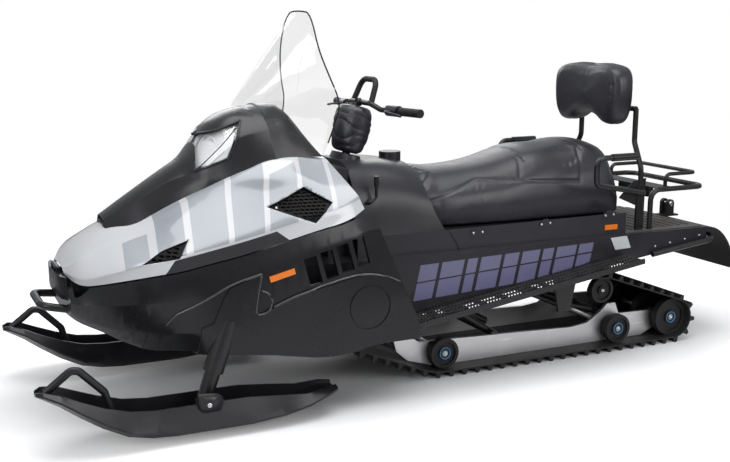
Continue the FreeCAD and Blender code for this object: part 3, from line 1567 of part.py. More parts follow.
def shift_lever():
    """The gear lever beside the tank, with its grip."""
    foot = vec(size.shift_lever_x, size.shift_lever_y, size.shift_lever_foot_z)
    knee = foot + vec(-0.35 * size.shift_lever_length, 0, 0.3 * size.shift_lever_length)
    top = knee + vec(0, 0, size.shift_lever_length)
    inner = foot + vec(0, -size.tank_half_width / 4, 0)
    rail = tube([inner, foot, knee, top], size.shift_lever_tube, size.shift_lever_tube)
    grip = rod(top - vec(0, 0, 0.5 * size.shift_lever_length), top, size.shift_grip_tube)
    keep("shift_lever", rail.fuse(grip).cut(tank_solid()))


# Skis

def ski_section(row):
    """A keeled pan with two leaning walls, open on top."""
    reach, wide_share, keel_share, wall_share, gap_share = row
    x = size.ski_rear_x + reach * size.ski_length
    wide = wide_share * size.ski_half_width
    low = keel_share * size.ski_tip_height
    keel_rise = size.ski_keel_height * min(1, wide_share)
    rim = low + keel_rise + wall_share * size.ski_wall_height
    gap = gap_share * size.ski_half_width
    wall = size.ski_wall
    half = [
        (0.18 * wide, low), (wide, low + keel_rise), (wide, low + keel_rise + wall),
        (gap + wall, rim + wall), (gap, rim + wall), (gap - wall / 4, low + keel_rise + wall / 2),
    ]
    outline = [vec(x, y, z) for y, z in half]
    outline += [vec(x, -y, z) for y, z in reversed(half)]
    return Part.makePolygon(outline + outline[:1])


def ski_shape():
    return solid_loft([ski_section(row) for row in SKI_SHARES], True)


def ski_loop():
    tip_x = size.ski_rear_x + size.ski_length
    low = size.ski_keel_height
    tip_z = size.ski_tip_height
    tube_width = size.ski_loop_tube
    points = [
        vec(tip_x - 1.2 * tube_width, 0, tip_z + 0.2 * low),
        vec(tip_x - 4.4 * tube_width, 0, tip_z + 1.9 * low),
        vec(tip_x - 5.4 * tube_width, 0, tip_z + 1.8 * low),
        vec(tip_x - 8.4 * tube_width, 0, tip_z - 0.4 * low),
        vec(tip_x - 9.2 * tube_width, 0, 0.5 * tip_z),
    ]
    return tube(points, tube_width, tube_width * 0.9)


def ski(label, side):
    shape = ski_shape().fuse(ski_loop())
    shape.translate(vec(0, side * size.ski_stance / 2, 0))
    keep(label, shape)


def ski_spindle(label, side):
    """The strut's lower tube, turning with the ski, and its saddle."""
    top, down = strut_axis()
    start = top + down * size.strut_collar_reach * 0.5
    low = top + down * size.strut_length
    tube_solid = rod(start, low, size.strut_tube)
    pivot_x = top.x + (top.z - size.ski_pivot_z) * math.tan(math.radians(size.strut_rake))
    bolt = rod(vec(pivot_x, top.y - size.ski_half_width * 0.62, size.ski_pivot_z),
               vec(pivot_x, top.y + size.ski_half_width * 0.62, size.ski_pivot_z),
               size.ski_bolt)
    shape = tube_solid.fuse(bolt).cut(ski_shape().translate(vec(0, top.y, 0)))
    shape = max(shape.Solids, key=lambda s: s.Volume)
    if side < 0:
        shape = mirrored(shape)
    keep(label, shape)


def strut_housings():
    """The fixed collars that the spindles turn in."""
    top, down = strut_axis()
    start = top - down * size.strut_collar_reach
    collar = Part.makeCylinder(size.strut_collar / 2, 2 * size.strut_collar_reach, start, down)
    bore = Part.makeCylinder(size.strut_tube / 2 + size.fit_gap, 3 * size.strut_collar_reach,
                             top + down * (size.strut_collar_reach * 0.5 - size.fit_gap), down)
    keep("strut_housings", both_sides(collar.cut(bore)))


# Track and its running gear

def belt_circles():
    """The four round stretches that the belt's outer face wraps, in order."""
    belt = size.track_belt
    lug = size.lug_height
    return [
        (size.rear_idler_x, size.rear_idler_radius + belt + lug,
         size.rear_idler_radius + belt),
        (size.rail_bend_x, size.rail_bend_radius + belt + lug,
         size.rail_bend_radius + belt),
        (size.sprocket_x, size.sprocket_z, size.sprocket_radius + belt),
        (size.carrier_x, size.carrier_z, size.carrier_radius + belt),
    ]


def belt_runs():
    """The loop as arcs and straight runs, each a function of its own length."""
    circles = belt_circles()
    count = len(circles)
    normals = []
    for i in range(count):
        ax, az, ar = circles[i]
        bx, bz, br = circles[(i + 1) % count]
        span = math.hypot(bx - ax, bz - az)
        dx, dz = (bx - ax) / span, (bz - az) / span
        along = (ar - br) / span
        across = math.sqrt(1 - along * along)
        normals.append((dx * along + dz * across, dz * along - dx * across))
    runs = []
    for i in range(count):
        cx, cz, radius = circles[i]
        start = math.atan2(normals[i - 1][1], normals[i - 1][0])
        end = math.atan2(normals[i][1], normals[i][0])
        turn = (end - start) % (2 * math.pi)
        runs.append(("arc", cx, cz, radius, start, turn, radius * turn))
        nx, nz = normals[i]
        ox, oz, out = circles[(i + 1) % count]
        first = (cx + nx * radius, cz + nz * radius)
        last = (ox + nx * out, oz + nz * out)
        length = math.hypot(last[0] - first[0], last[1] - first[1])
        runs.append(("line", first, last, (nx, nz), length))
    return runs


def belt_point(runs, distance):
    """Place and outward normal at a distance along the belt's outer face."""
    total = sum(run[-1] for run in runs)
    rest = distance % total
    for run in runs:
        if rest <= run[-1]:
            break
        rest -= run[-1]
    if run[0] == "arc":
        angle = run[4] + rest / run[3]
        nx, nz = math.cos(angle), math.sin(angle)
        return run[1] + nx * run[3], run[2] + nz * run[3], nx, nz
    (ax, az), (bx, bz), (nx, nz), length = run[1:]
    share = rest / length
    return ax + (bx - ax) * share, az + (bz - az) * share, nx, nz


def belt_outline(steps, total, runs):
    """An outline through (distance, height off the outer face) steps."""
    points = []
    for distance, height in steps:
        x, z, nx, nz = belt_point(runs, distance % total)
        points.append((x + nx * height, z + nz * height))
    return points


def track():
    """One closed rubber loop with its lugs in its outline."""
    runs = belt_runs()
    total = sum(run[-1] for run in runs)
    count = round(total / size.lug_pitch)
    pitch = total / count
    outer = []
    inner = []
    for i in range(count):
        middle = i * pitch
        outer += [(middle - size.lug_foot / 2, 0), (middle - size.lug_tip / 2, size.lug_height),
                  (middle + size.lug_tip / 2, size.lug_height), (middle + size.lug_foot / 2, 0),
                  (middle + pitch / 2, 0)]
        inner += [(middle, -size.track_belt), (middle + pitch / 3, -size.track_belt),
                  (middle + 2 * pitch / 3, -size.track_belt)]
    solid = prism(belt_outline(outer, total, runs), 0, size.track_width)
    hollow = prism(belt_outline(inner, total, runs), 0, size.track_width + 2 * size.overrun)
    keep("track", solid.cut(hollow))


def wheel(x, y, z, radius, width):
    """A rubber-tyred idler: rim, thin web and hub."""
    rim = 0.22 * radius
    hub = 0.34 * radius
    profile = [
        vec(size.axle_tube / 2, -width / 2, 0), vec(hub, -width / 2, 0), vec(hub, -width / 5, 0),
        vec(radius - rim, -width / 5, 0), vec(radius - rim, -width / 2, 0),
        vec(radius, -width / 2, 0), vec(radius, width / 2, 0), vec(radius - rim, width / 2, 0),
        vec(radius - rim, width / 5, 0), vec(hub, width / 5, 0), vec(hub, width / 2, 0),
        vec(size.axle_tube / 2, width / 2, 0),
    ]
    face = Part.Face(Part.makePolygon(profile + profile[:1]))
    body = face.revolve(vec(0, 0, 0), vec(0, 1, 0), 360)
    body.translate(vec(x, y, z))
    return body


def idler_wheels():
    low_z = size.lug_height + size.track_belt + size.idler_radius
    shapes = []
    for x in (size.idler_front_x, size.idler_mid_x):
        for y in (size.idler_y, -size.idler_y):
            shapes.append(wheel(x, y, low_z, size.idler_radius - size.wheel_gap, size.idler_width))
    for y in (size.idler_y, -size.idler_y):
        shapes.append(wheel(size.carrier_x, y, size.carrier_z,
                            size.carrier_radius - size.wheel_gap, size.idler_width))
    keep("idler_wheels", Part.makeCompound(shapes))


def rear_idlers():
    z = size.lug_height + size.track_belt + size.rear_idler_radius
    shapes = [wheel(size.rear_idler_x, y, z, size.rear_idler_radius - size.wheel_gap, size.idler_width)
              for y in (size.idler_y, size.idler_y * 0.4, -size.idler_y * 0.4, -size.idler_y)]
    keep("rear_idlers", Part.makeCompound(shapes))


def drive_axle():
    """The drive shaft across the tunnel with its two sprockets."""
    shaft = cross_rod(size.sprocket_x, size.sprocket_z, size.axle_tube * 1.4,
                      size.tunnel_half_width - size.tunnel_sheet)
    keep("drive_axle", joined([shaft] + [sprocket(share * size.idler_y) for share in (-0.55, 0.55)]))


def sprocket(middle_y):
    """A toothed drive wheel: flat-topped teeth with slanted flanks."""
    count = int(size.sprocket_teeth)
    pitch = 2 * math.pi / count
    tip = size.sprocket_radius - size.wheel_gap
    root = 0.8 * tip
    corners = []
    for index in range(count):
        for share, radius in ((-0.28, root), (-0.14, tip), (0.14, tip), (0.28, root)):
            angle = (index + share) * pitch
            corners.append((size.sprocket_x + radius * math.cos(angle),
                            size.sprocket_z + radius * math.sin(angle)))
    return prism(corners, middle_y, size.idler_width)


def slide_rails():
    """Two extruded rails, their cross shafts and the rear axle."""
    rear_x = size.rear_idler_x - 0.2 * size.rear_idler_radius
    front_x = size.rail_bend_x + 0.86 * size.rail_bend_radius
    length = front_x - rear_x
    base = size.lug_height + size.track_belt + size.fit_gap
    points = [(rear_x + reach * length, base + high * size.rail_height)
              for reach, high in RAIL_SHARES]
    rail = prism(points, size.rail_y, size.rail_thickness)
    low_z = size.lug_height + size.track_belt + size.idler_radius
    half = size.idler_y + size.idler_width / 2
    pieces = [rail, mirrored(rail)]
    pieces.append(cross_rod(size.idler_front_x, low_z, size.axle_tube, half))
    pieces.append(cross_rod(size.idler_mid_x, low_z, size.axle_tube, half))
    rear_z = size.lug_height + size.track_belt + size.rear_idler_radius
    pieces.append(cross_rod(size.rear_idler_x, rear_z, size.axle_tube, half))
    keep("slide_rails", joined(pieces))


def suspension_arms():
    """The swinging arms between tunnel and rails, with their shocks."""
    inner = size.rail_y - size.rail_thickness / 2
    arm_y = 0.72 * inner
    span = size.tunnel_half_width - size.tunnel_sheet
    top = vec(size.arm_top_x, arm_y, size.arm_top_z)
    foot = vec(size.arm_front_x, arm_y, size.arm_front_z)
    rear_top = vec(size.hanger_x, arm_y, size.hanger_z)
    rear_foot = vec(size.rear_arm_foot_x, arm_y, size.rear_arm_foot_z)
    hanger_y = span - size.hanger_sheet
    pieces = [rod(foot, top, size.arm_tube), mirrored(rod(foot, top, size.arm_tube)),
              rod(rear_foot, rear_top, size.arm_tube),
              mirrored(rod(rear_foot, rear_top, size.arm_tube)),
              cross_rod(top.x, top.z, size.arm_tube, span),
              cross_rod(foot.x, foot.z, size.arm_tube, inner)]
    rear = [cross_rod(rear_top.x, rear_top.z, size.arm_tube, hanger_y),
            cross_rod(rear_foot.x, rear_foot.z, size.arm_tube, inner)]
    shock = rod(vec(top.x, 0, top.z), vec(foot.x - size.arm_tube * 2, 0, foot.z), size.shock_diameter)
    rear_shock = rod(vec(rear_top.x, 0, rear_top.z), vec(rear_foot.x, 0, rear_foot.z), size.shock_diameter)
    front = joined([pieces[0], pieces[1], pieces[4], pieces[5], shock])
    back = joined([pieces[2], pieces[3], rear[0], rear[1], rear_shock])
    keep("suspension_arms", Part.makeCompound([front, back]))


def suspension_brackets():
    """The plates that hang from the tunnel beside the track."""
    wide = size.hanger_width
    top_z = size.hanger_z + 1.25 * wide
    points = [(size.hanger_x + 0.55 * wide, top_z), (size.hanger_x + 0.25 * wide, size.hanger_z - 0.2 * wide),
              (size.hanger_x - 0.25 * wide, size.hanger_z - 0.2 * wide),
              (size.hanger_x - 0.55 * wide, top_z)]
    middle = size.tunnel_half_width - size.tunnel_sheet - size.hanger_sheet / 2
    keep("suspension_brackets", both_sides(prism(points, middle, size.hanger_sheet)))


def reflectors():
    """Four amber plates on the panels and covers."""
    long = size.reflector_length
    tall = size.reflector_height
    deep = size.reflector_depth
    hull = hull_solid(0, 0, 0)
    block = Part.makeBox(1.5 * long, size.hull_half_width, tall,
                         vec(size.front_reflector_x - 0.75 * long, size.side_panel_inner_y,
                             size.front_reflector_z - tall / 2))
    block.rotate(vec(size.front_reflector_x, 0, size.front_reflector_z), vec(0, 1, 0), 14)
    shell = hull_solid(-deep, 0, 0).cut(hull)
    front = shell.common(block)
    front = max(front.Solids, key=lambda s: s.Volume)
    rear = Part.makeBox(long, deep, tall,
                        vec(size.rear_reflector_x - long / 2, size.box_half_width,
                            size.rear_reflector_z - tall / 2))
    keep("reflectors", Part.makeCompound([front, mirrored(front), rear, mirrored(rear)]))


def build_all():
    hood()
    hood_grilles()
    headlight_pod()
    headlight()
    cowl()
    windshield()
    hull_pieces()
    nose()
    nose_trim()
    hood_hinge()
    engine()
    tunnel()
    running_board("running_board_left", 1)
    running_board("running_board_right", -1)
    rear_deck()
    snow_flap()
    rear_bumper()
    rear_rack()
    tail_lamp()
    tow_hitch()
    seat()
    seat_box()
    side_cover("side_cover_left", 1)
    side_cover("side_cover_right", -1)
    fuel_tank()
    fuel_cap()
    console()
    backrest_pad()
    backrest_frame()
    grab_handles()
    steering_collar()
    steering_pad()
    handlebar()
    grips()
    controls()
    bar_strap()
    shift_lever()
    ski("ski_left", 1)
    ski("ski_right", -1)
    ski_spindle("ski_spindle_left", 1)
    ski_spindle("ski_spindle_right", -1)
    strut_housings()
    track()
    idler_wheels()
    rear_idlers()
    drive_axle()
    slide_rails()
    suspension_arms()
    suspension_brackets()
    reflectors()


def write_parts():
    """Check every object, then write one file per sub-part."""
    doc.recompute()
    for item in doc.Objects:
        if "Invalid" in item.State or "Error" in item.State:
            raise RuntimeError("%s failed: %s" % (item.Name, item.State))
    os.makedirs("parts", exist_ok=True)
    for item in sub_parts:
        if item.Shape.isNull() or not item.Shape.isValid():
            raise RuntimeError("%s has a bad shape" % item.Label)
        if item.Shape.Volume <= 0 or not item.Shape.Solids:
            raise RuntimeError("%s has no solid" % item.Label)
        item.Shape.exportStep("parts/%s.step" % item.Label)
        box = item.Shape.BoundBox
        print("%-22s %2d solids  %8.1f cm3  x %6.0f..%6.0f  y %5.0f..%5.0f  z %5.0f..%5.0f" % (
            item.Label, len(item.Shape.Solids), item.Shape.Volume / 1000,
            box.XMin, box.XMax, box.YMin, box.YMax, box.ZMin, box.ZMax))


build_all()
write_parts()
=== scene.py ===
# %% [markdown]
# # Dressing a two-seat utility snowmobile
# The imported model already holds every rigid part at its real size. This lesson adds what a
# photograph shows and a plain solid lacks: painted and moulded finishes, a smooth moulded
# hood, soft seats with seams, and a studio to look at it all in.

# %% Open the frame
import math
from functools import partial

import bmesh
import bpy
import numpy as np
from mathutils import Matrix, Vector
from mathutils.bvhtree import BVHTree
from mathutils.kdtree import KDTree


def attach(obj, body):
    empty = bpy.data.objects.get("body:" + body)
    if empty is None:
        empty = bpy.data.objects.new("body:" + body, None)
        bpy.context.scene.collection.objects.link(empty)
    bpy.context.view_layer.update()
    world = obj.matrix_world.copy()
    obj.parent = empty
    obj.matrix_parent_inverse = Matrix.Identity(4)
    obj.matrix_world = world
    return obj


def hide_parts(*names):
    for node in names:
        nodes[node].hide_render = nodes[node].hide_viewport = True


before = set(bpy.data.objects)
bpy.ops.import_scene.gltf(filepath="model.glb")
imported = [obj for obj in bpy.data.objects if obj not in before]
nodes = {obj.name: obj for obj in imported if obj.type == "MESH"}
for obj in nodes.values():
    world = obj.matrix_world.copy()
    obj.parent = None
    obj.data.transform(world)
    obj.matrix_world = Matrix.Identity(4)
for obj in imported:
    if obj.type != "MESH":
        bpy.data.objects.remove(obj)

scene = bpy.context.scene
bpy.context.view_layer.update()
both_sides = ((1, "left"), (-1, "right"))

# %% [markdown]
# ## The view
# A product photograph is taken from far off with a long lens, so that the skis don't look
# larger than the seat. The camera could be placed by eye, but a fit of known points (track
# width, ski stance, top of the shield) gives its place and lens at once. The small upward
# shift slides the picture on the film, so the machine sits where the photograph has it.

# %% Camera
def stand(name, data, place, target):
    """Put a camera or a lamp into the scene at place, turned to face target."""
    holder = bpy.data.objects.new(name, data)
    holder.location = place
    holder.rotation_euler = (Vector(target) - Vector(place)).to_track_quat("-Z", "Y").to_euler()
    scene.collection.objects.link(holder)
    return holder


eye, aim = (2.060, 4.074, 1.458), (0.175, 0.0, 0.462)
lens = bpy.data.cameras.new("studio_view")
lens.sensor_fit = "HORIZONTAL"
lens.sensor_width = 36.0
lens.lens = 52.87
lens.shift_y = 0.0423
scene.camera = stand("studio_view", lens, eye, aim)
scene.view_settings.view_transform = "Standard"
print("camera at", eye)

# %% [markdown]
# ## The studio
# Dark glossy mouldings show little of their own colour: what we see on them is the room.
# Large soft boxes give long, gentle highlights, where small lamps would give hard dots. One
# box hangs overhead, one stands on each side of the camera, one lights the far side, and the
# white room itself is seen at full strength only by the camera and through clear sheets.
# Reflections see it at about half strength, and the paint is lit by less, so that black
# mouldings stay black. The floor is lit paper under the machine, where its shadow falls, and
# turns to plain white further off, so that no horizon shows. Its own glow is also taken away in
# a long patch under the machine: a painted shade that deepens the cast shadow there.

# %% Soft boxes
for name, place, target, width, height, watts in (
        ("top_box", (0.3, 0.4, 4.2), (0.0, 0.0, 0.4), 4.6, 3.0, 140),
        ("key_box", (4.6, 2.6, 2.6), (0.7, 0.0, 0.5), 2.6, 2.2, 62),
        ("side_box", (-2.6, 5.0, 2.4), (-0.4, 0.0, 0.5), 3.0, 1.8, 80),
        ("back_box", (-1.0, -4.6, 2.8), (0.0, 0.0, 0.6), 4.0, 1.6, 70)):
    light = bpy.data.lights.new(name, "AREA")
    light.shape = "RECTANGLE"
    light.size, light.size_y = width, height
    light.energy = watts
    stand(name, light, place, target)

# %% Node helpers
def set_inputs(tree, node, inputs):
    """Feed a node's inputs: a socket is linked there, a number or a colour is set there."""
    for place, value in inputs.items():
        if isinstance(value, bpy.types.NodeSocket):
            tree.links.new(value, node.inputs[place])
        else:
            node.inputs[place].default_value = value


def add_node(tree, kind, inputs=None, **settings):
    """A new shader node of this kind, with its settings and its inputs."""
    node = tree.nodes.new("ShaderNode" + kind)
    for name, value in settings.items():
        setattr(node, name, value)
    set_inputs(tree, node, inputs or {})
    return node


def math_node(tree, operation, *values):
    """The result of one Math node; each value is a socket or a plain number."""
    return add_node(tree, "Math", dict(enumerate(values)), operation=operation).outputs[0]


def smooth_range(tree, value, start, end, low=0.0, high=1.0):
    """From low to high while value goes from start to end, with no kink at either."""
    node = add_node(tree, "MapRange", {"Value": value, "From Min": start, "From Max": end,
                                       "To Min": low, "To Max": high}, interpolation_type="SMOOTHSTEP")
    return node.outputs["Result"]


def mix_colors(tree, share, first, second):
    """The first colour at a share of 0 and the second at 1."""
    node = add_node(tree, "Mix", data_type="RGBA")
    set_inputs(tree, node, {"Factor": share, "A": first, "B": second})
    return node.outputs["Result"]


def length_node(tree, vector):
    """The length of a vector."""
    return add_node(tree, "VectorMath", {0: vector}, operation="LENGTH").outputs["Value"]


def new_material(name):
    """A material with its node tree and the Principled shader in it."""
    material = bpy.data.materials.new(name)
    material.use_nodes = True
    return material, material.node_tree, material.node_tree.nodes["Principled BSDF"]


print("node helpers ready")

# %% World
world = bpy.data.worlds.new("white_room")
scene.world = world
world.use_nodes = True
sky = world.node_tree
sky.nodes.clear()
rays = add_node(sky, "LightPath")
seen = math_node(sky, "MAXIMUM", rays.outputs["Is Camera Ray"], rays.outputs["Is Transmission Ray"])
paint_level, gloss_level = 0.30, 0.46
level = add_node(sky, "MapRange", {"Value": rays.outputs["Is Glossy Ray"],
                                   "To Min": paint_level, "To Max": gloss_level})
dim = add_node(sky, "Background", {"Color": (0.95, 0.975, 1.0, 1), "Strength": level.outputs["Result"]})
room = add_node(sky, "Background", {"Color": (1, 1, 1, 1)})
pick = add_node(sky, "MixShader", {0: seen, 1: dim.outputs[0], 2: room.outputs[0]})
add_node(sky, "OutputWorld", {"Surface": pick.outputs[0]})
print("world nodes:", len(sky.nodes))

# %% Floor
floor_half = 60.0
floor_mesh = bpy.data.meshes.new("studio_floor")
floor_mesh.from_pydata([(-floor_half, -floor_half, 0), (floor_half, -floor_half, 0),
                        (floor_half, floor_half, 0), (-floor_half, floor_half, 0)], [], [(0, 1, 2, 3)])
floor = bpy.data.objects.new("studio_floor", floor_mesh)
scene.collection.objects.link(floor)
paper, tree, paper_shader = new_material("white_paper")
spot = add_node(tree, "TexCoord").outputs["Object"]
fade_start, fade_end = 1.7, 3.9
fade = smooth_range(tree, length_node(tree, spot), fade_start, fade_end)
# Painted shade: the floor's glow drops to nothing in a long patch under the machine, so the floor there is
# darker than its real shadow alone would make it.
shade_oval = add_node(tree, "VectorMath", {0: spot, 1: (0.42, 1.2, 1.0)}, operation="MULTIPLY")
under = smooth_range(tree, length_node(tree, shade_oval.outputs["Vector"]), 0.45, 1.05, 0.0, 0.42)
lift = add_node(tree, "MapRange", {"Value": fade, "To Min": under, "To Max": 1.0})
camera_ray = add_node(tree, "LightPath").outputs["Is Camera Ray"]
set_inputs(tree, paper_shader, {
    "Base Color": mix_colors(tree, fade, (0.86, 0.86, 0.87, 1), (0, 0, 0, 1)),
    "Roughness": 0.9, "Specular IOR Level": 0.0, "Emission Color": (1, 1, 1, 1),
    "Emission Strength": math_node(tree, "MULTIPLY", camera_ray, lift.outputs["Result"])})
floor_mesh.materials.append(paper)
print("floor laid")

# %% [markdown]
# ## Shared effects
# Moulded plastic, powder coat and rubber differ mostly in how fine their grain is and how it
# breaks up the gloss. A picture could carry that, but a node group with a few named inputs
# gives the same effect at any scale and is built once. Each group puts out only heights and
# masks; the shader stays in the material that uses it.

# %% Group helper
def effect_group(name, inputs, outputs):
    """An empty shader node group with named float inputs and outputs."""
    group = bpy.data.node_groups.new(name, "ShaderNodeTree")
    for label, value in inputs:
        socket = group.interface.new_socket(label, in_out="INPUT", socket_type="NodeSocketFloat")
        socket.default_value = value
    for label in outputs:
        group.interface.new_socket(label, in_out="OUTPUT", socket_type="NodeSocketFloat")
    return group, group.nodes.new("NodeGroupInput"), group.nodes.new("NodeGroupOutput")


print("group helper ready")

# %% Grain, leather and scuffs
grain, grain_in, grain_out = effect_group("fine_grain", [("Scale", 400.0)], ["Height", "Patches"])
spot = add_node(grain, "TexCoord").outputs["Object"]
fine = add_node(grain, "TexNoise", {"Vector": spot, "Scale": grain_in.outputs["Scale"], "Detail": 3.0})
broad = add_node(grain, "TexNoise", {"Vector": spot, "Scale": 5.0, "Detail": 4.0})
set_inputs(grain, grain_out, {"Height": fine.outputs["Fac"], "Patches": broad.outputs["Fac"]})

hide, hide_in, hide_out = effect_group("leather_grain", [("Scale", 260.0)], ["Height", "Creases"])
spot = add_node(hide, "TexCoord").outputs["Object"]
cells = add_node(hide, "TexVoronoi", {"Vector": spot, "Scale": hide_in.outputs["Scale"]},
                 feature="DISTANCE_TO_EDGE")
folds = add_node(hide, "TexNoise", {"Vector": spot, "Scale": 14.0, "Detail": 5.0, "Distortion": 0.6})
set_inputs(hide, hide_out, {"Height": math_node(hide, "MINIMUM", cells.outputs["Distance"], 0.25),
                            "Creases": folds.outputs["Fac"]})

scuff, scuff_in, scuff_out = effect_group("scuffs", [("Scale", 30.0), ("Amount", 0.5)], ["Mask"])
spot = add_node(scuff, "TexCoord").outputs["Object"]
drawn = add_node(scuff, "Mapping", {"Vector": spot, "Scale": (0.25, 1.0, 1.6)})
marks = add_node(scuff, "TexNoise", {"Vector": drawn.outputs["Vector"], "Scale": scuff_in.outputs["Scale"],
                                     "Detail": 6.0})
sparse = math_node(scuff, "SUBTRACT", marks.outputs["Fac"], 0.62)
sharp = math_node(scuff, "MULTIPLY", math_node(scuff, "MAXIMUM", sparse, 0.0), 8.0)
faint = math_node(scuff, "MULTIPLY", math_node(scuff, "MINIMUM", sharp, 1.0), scuff_in.outputs["Amount"])
set_inputs(scuff, scuff_out, {"Mask": faint})
print("groups:", [g.name for g in bpy.data.node_groups])

# %% [markdown]
# ## Finishes
# Each finish is one Principled shader. Its plain numbers sit on the shader itself, and the
# groups only vary roughness, a little colour and the bump. No value is pure black, because
# even black plastic scatters about one part in a hundred.

# %% Finish helper
rough_spread = 0.16


def lighter(color, gain, lift):
    """The colour times gain plus lift, at most 1, with a full alpha."""
    return (*[min(1.0, part * gain + lift) for part in color], 1)


def finish(name, color, rough, metallic=0.0, coat=0.0, grain_scale=500.0, bump=0.05,
           leather=False, marks=0.0, distance=0.0006, specular=0.5):
    """A Principled material with grain bump, patchy roughness and optional scuffs."""
    material, tree, shader = new_material(name)
    effect = add_node(tree, "Group", node_tree=hide if leather else grain)
    set_inputs(tree, effect, {"Scale": grain_scale})
    patches = effect.outputs["Creases" if leather else "Patches"]
    spread = math_node(tree, "MULTIPLY", math_node(tree, "SUBTRACT", patches, 0.5), rough_spread)
    rough_value = math_node(tree, "ADD", spread, rough)
    color_value = mix_colors(tree, patches, (*color, 1), lighter(color, 1.25, 0.006))
    if marks:
        worn = add_node(tree, "Group", node_tree=scuff)
        set_inputs(tree, worn, {"Scale": 26.0, "Amount": marks})
        worn = worn.outputs["Mask"]
        rough_value = math_node(tree, "ADD", rough_value, math_node(tree, "MULTIPLY", worn, 0.25))
        color_value = mix_colors(tree, worn, color_value, lighter(color, 1.6, 0.03))
    relief = add_node(tree, "Bump", {"Strength": min(1.0, bump * 4), "Distance": distance,
                                     "Height": effect.outputs["Height"]})
    set_inputs(tree, shader, {
        "Base Color": color_value, "Roughness": rough_value, "Normal": relief.outputs["Normal"],
        "Metallic": metallic, "Coat Weight": coat, "Coat Roughness": 0.06, "Specular IOR Level": specular})
    return material


print("finish helper ready")

# %% The plain finishes
hull_plastic = finish("hull_plastic", (0.007, 0.007, 0.009), 0.28, grain_scale=700, bump=0.04,
                      marks=0.08, specular=0.38)
gloss_plastic = finish("gloss_plastic", (0.009, 0.009, 0.011), 0.27, grain_scale=60, bump=0.01,
                       specular=0.42)
cover_plastic = finish("cover_plastic", (0.017, 0.017, 0.022), 0.36, grain_scale=800, bump=0.08)
powder_coat = finish("powder_coat", (0.010, 0.010, 0.011), 0.32, grain_scale=900, bump=0.06,
                     specular=0.45)
tunnel_coat = finish("tunnel_coat", (0.014, 0.013, 0.018), 0.34, grain_scale=900, marks=0.15,
                     specular=0.45)
board_coat = finish("board_coat", (0.016, 0.016, 0.017), 0.45, grain_scale=700, bump=0.10,
                    marks=0.4, specular=0.4)
deck_coat = finish("deck_coat", (0.070, 0.065, 0.061), 0.50, grain_scale=700, bump=0.12, marks=0.4)
rubber = finish("rubber", (0.009, 0.009, 0.010), 0.58, grain_scale=350, bump=0.10, specular=0.35)
track_rubber = finish("track_rubber", (0.013, 0.013, 0.014), 0.62, grain_scale=240, bump=0.20,
                      marks=0.3, specular=0.35)
ski_plastic = finish("ski_plastic", (0.006, 0.006, 0.008), 0.36, grain_scale=600, bump=0.08,
                     marks=0.35, specular=0.45)
bare_aluminium = finish("bare_aluminium", (0.62, 0.61, 0.62), 0.42, metallic=1.0, grain_scale=900,
                        bump=0.04, marks=0.5)
zinc = finish("zinc", (0.56, 0.57, 0.60), 0.26, metallic=1.0)
cast_grey = finish("cast_grey", (0.10, 0.10, 0.11), 0.55, metallic=0.6, grain_scale=300, bump=0.2)
seat_vinyl = finish("seat_vinyl", (0.015, 0.015, 0.021), 0.40, grain_scale=330, bump=0.10,
                    leather=True, distance=0.0004, specular=0.62)
amber = finish("amber", (0.92, 0.20, 0.012), 0.25, coat=0.3, grain_scale=900)
red_lens = finish("red_lens", (0.50, 0.010, 0.010), 0.18, coat=0.5, grain_scale=900)
mesh_black = finish("mesh_black", (0.003, 0.003, 0.0035), 0.55, grain_scale=900, bump=0.03,
                    specular=0.12)
seal_blue = finish("seal_blue", (0.05, 0.20, 0.42), 0.42, bump=0.06)
chrome = finish("chrome", (0.86, 0.87, 0.90), 0.06, metallic=1.0, grain_scale=40, bump=0.0)
# Near white and hardly metallic: partly the reflector's own brightness, partly a painted reflection of a soft
# box.
reflector_and_painted_reflection = finish("reflector_and_painted_reflection", (0.84, 0.84, 0.87), 0.25, metallic=0.1, grain_scale=60, bump=0.02)
print("finishes:", len(bpy.data.materials))

# %% Clear finishes
def clear_plastic(name, color, rough, alpha):
    """Clear moulded sheet: a plain transmission weight and a little see-through alpha."""
    material, tree, shader = new_material(name)
    set_inputs(tree, shader, {"Base Color": (*color, 1), "Transmission Weight": 1.0,
                              "Roughness": rough, "IOR": 1.45, "Alpha": alpha})
    return material


shield_sheet = clear_plastic("shield_sheet", (0.93, 0.95, 0.96), 0.0, 0.10)
lamp_glass = clear_plastic("lamp_glass", (0.97, 0.98, 1.0), 0.01, 0.40)
print("clear sheets ready")

# %% [markdown]
# ## The hood's paint
# The hood is white, with large pale grey slanted bars of uneven height, and one black flash
# along its lower edge. A painted image is the usual way, but the bars are straight-edged, so
# a few sums on the Object coordinates draw them as sharply as a cut decal and at the same
# place on both sides.

# %% Paint helpers
def step_ramp(tree, share, bands):
    """A ramp with hard steps: each (start, end, grey) band has its grey, the gaps are black."""
    ramp = add_node(tree, "ValToRGB", {"Fac": share})
    ramp.color_ramp.interpolation = "CONSTANT"
    stops = [stop for start, end, grey in bands for stop in ((start, grey), (end, 0))]
    while len(ramp.color_ramp.elements) < len(stops):
        ramp.color_ramp.elements.new(0.5)
    for element, (place, grey) in zip(ramp.color_ramp.elements, stops):
        element.position = place
        element.color = (grey, grey, grey, 1)
    return ramp.outputs["Color"]


def object_axes(tree):
    """The Object coordinates as one vector, and their x, y and z."""
    spot = add_node(tree, "TexCoord").outputs["Object"]
    return (spot, *add_node(tree, "SeparateXYZ", {0: spot}).outputs)


print("paint helpers ready")

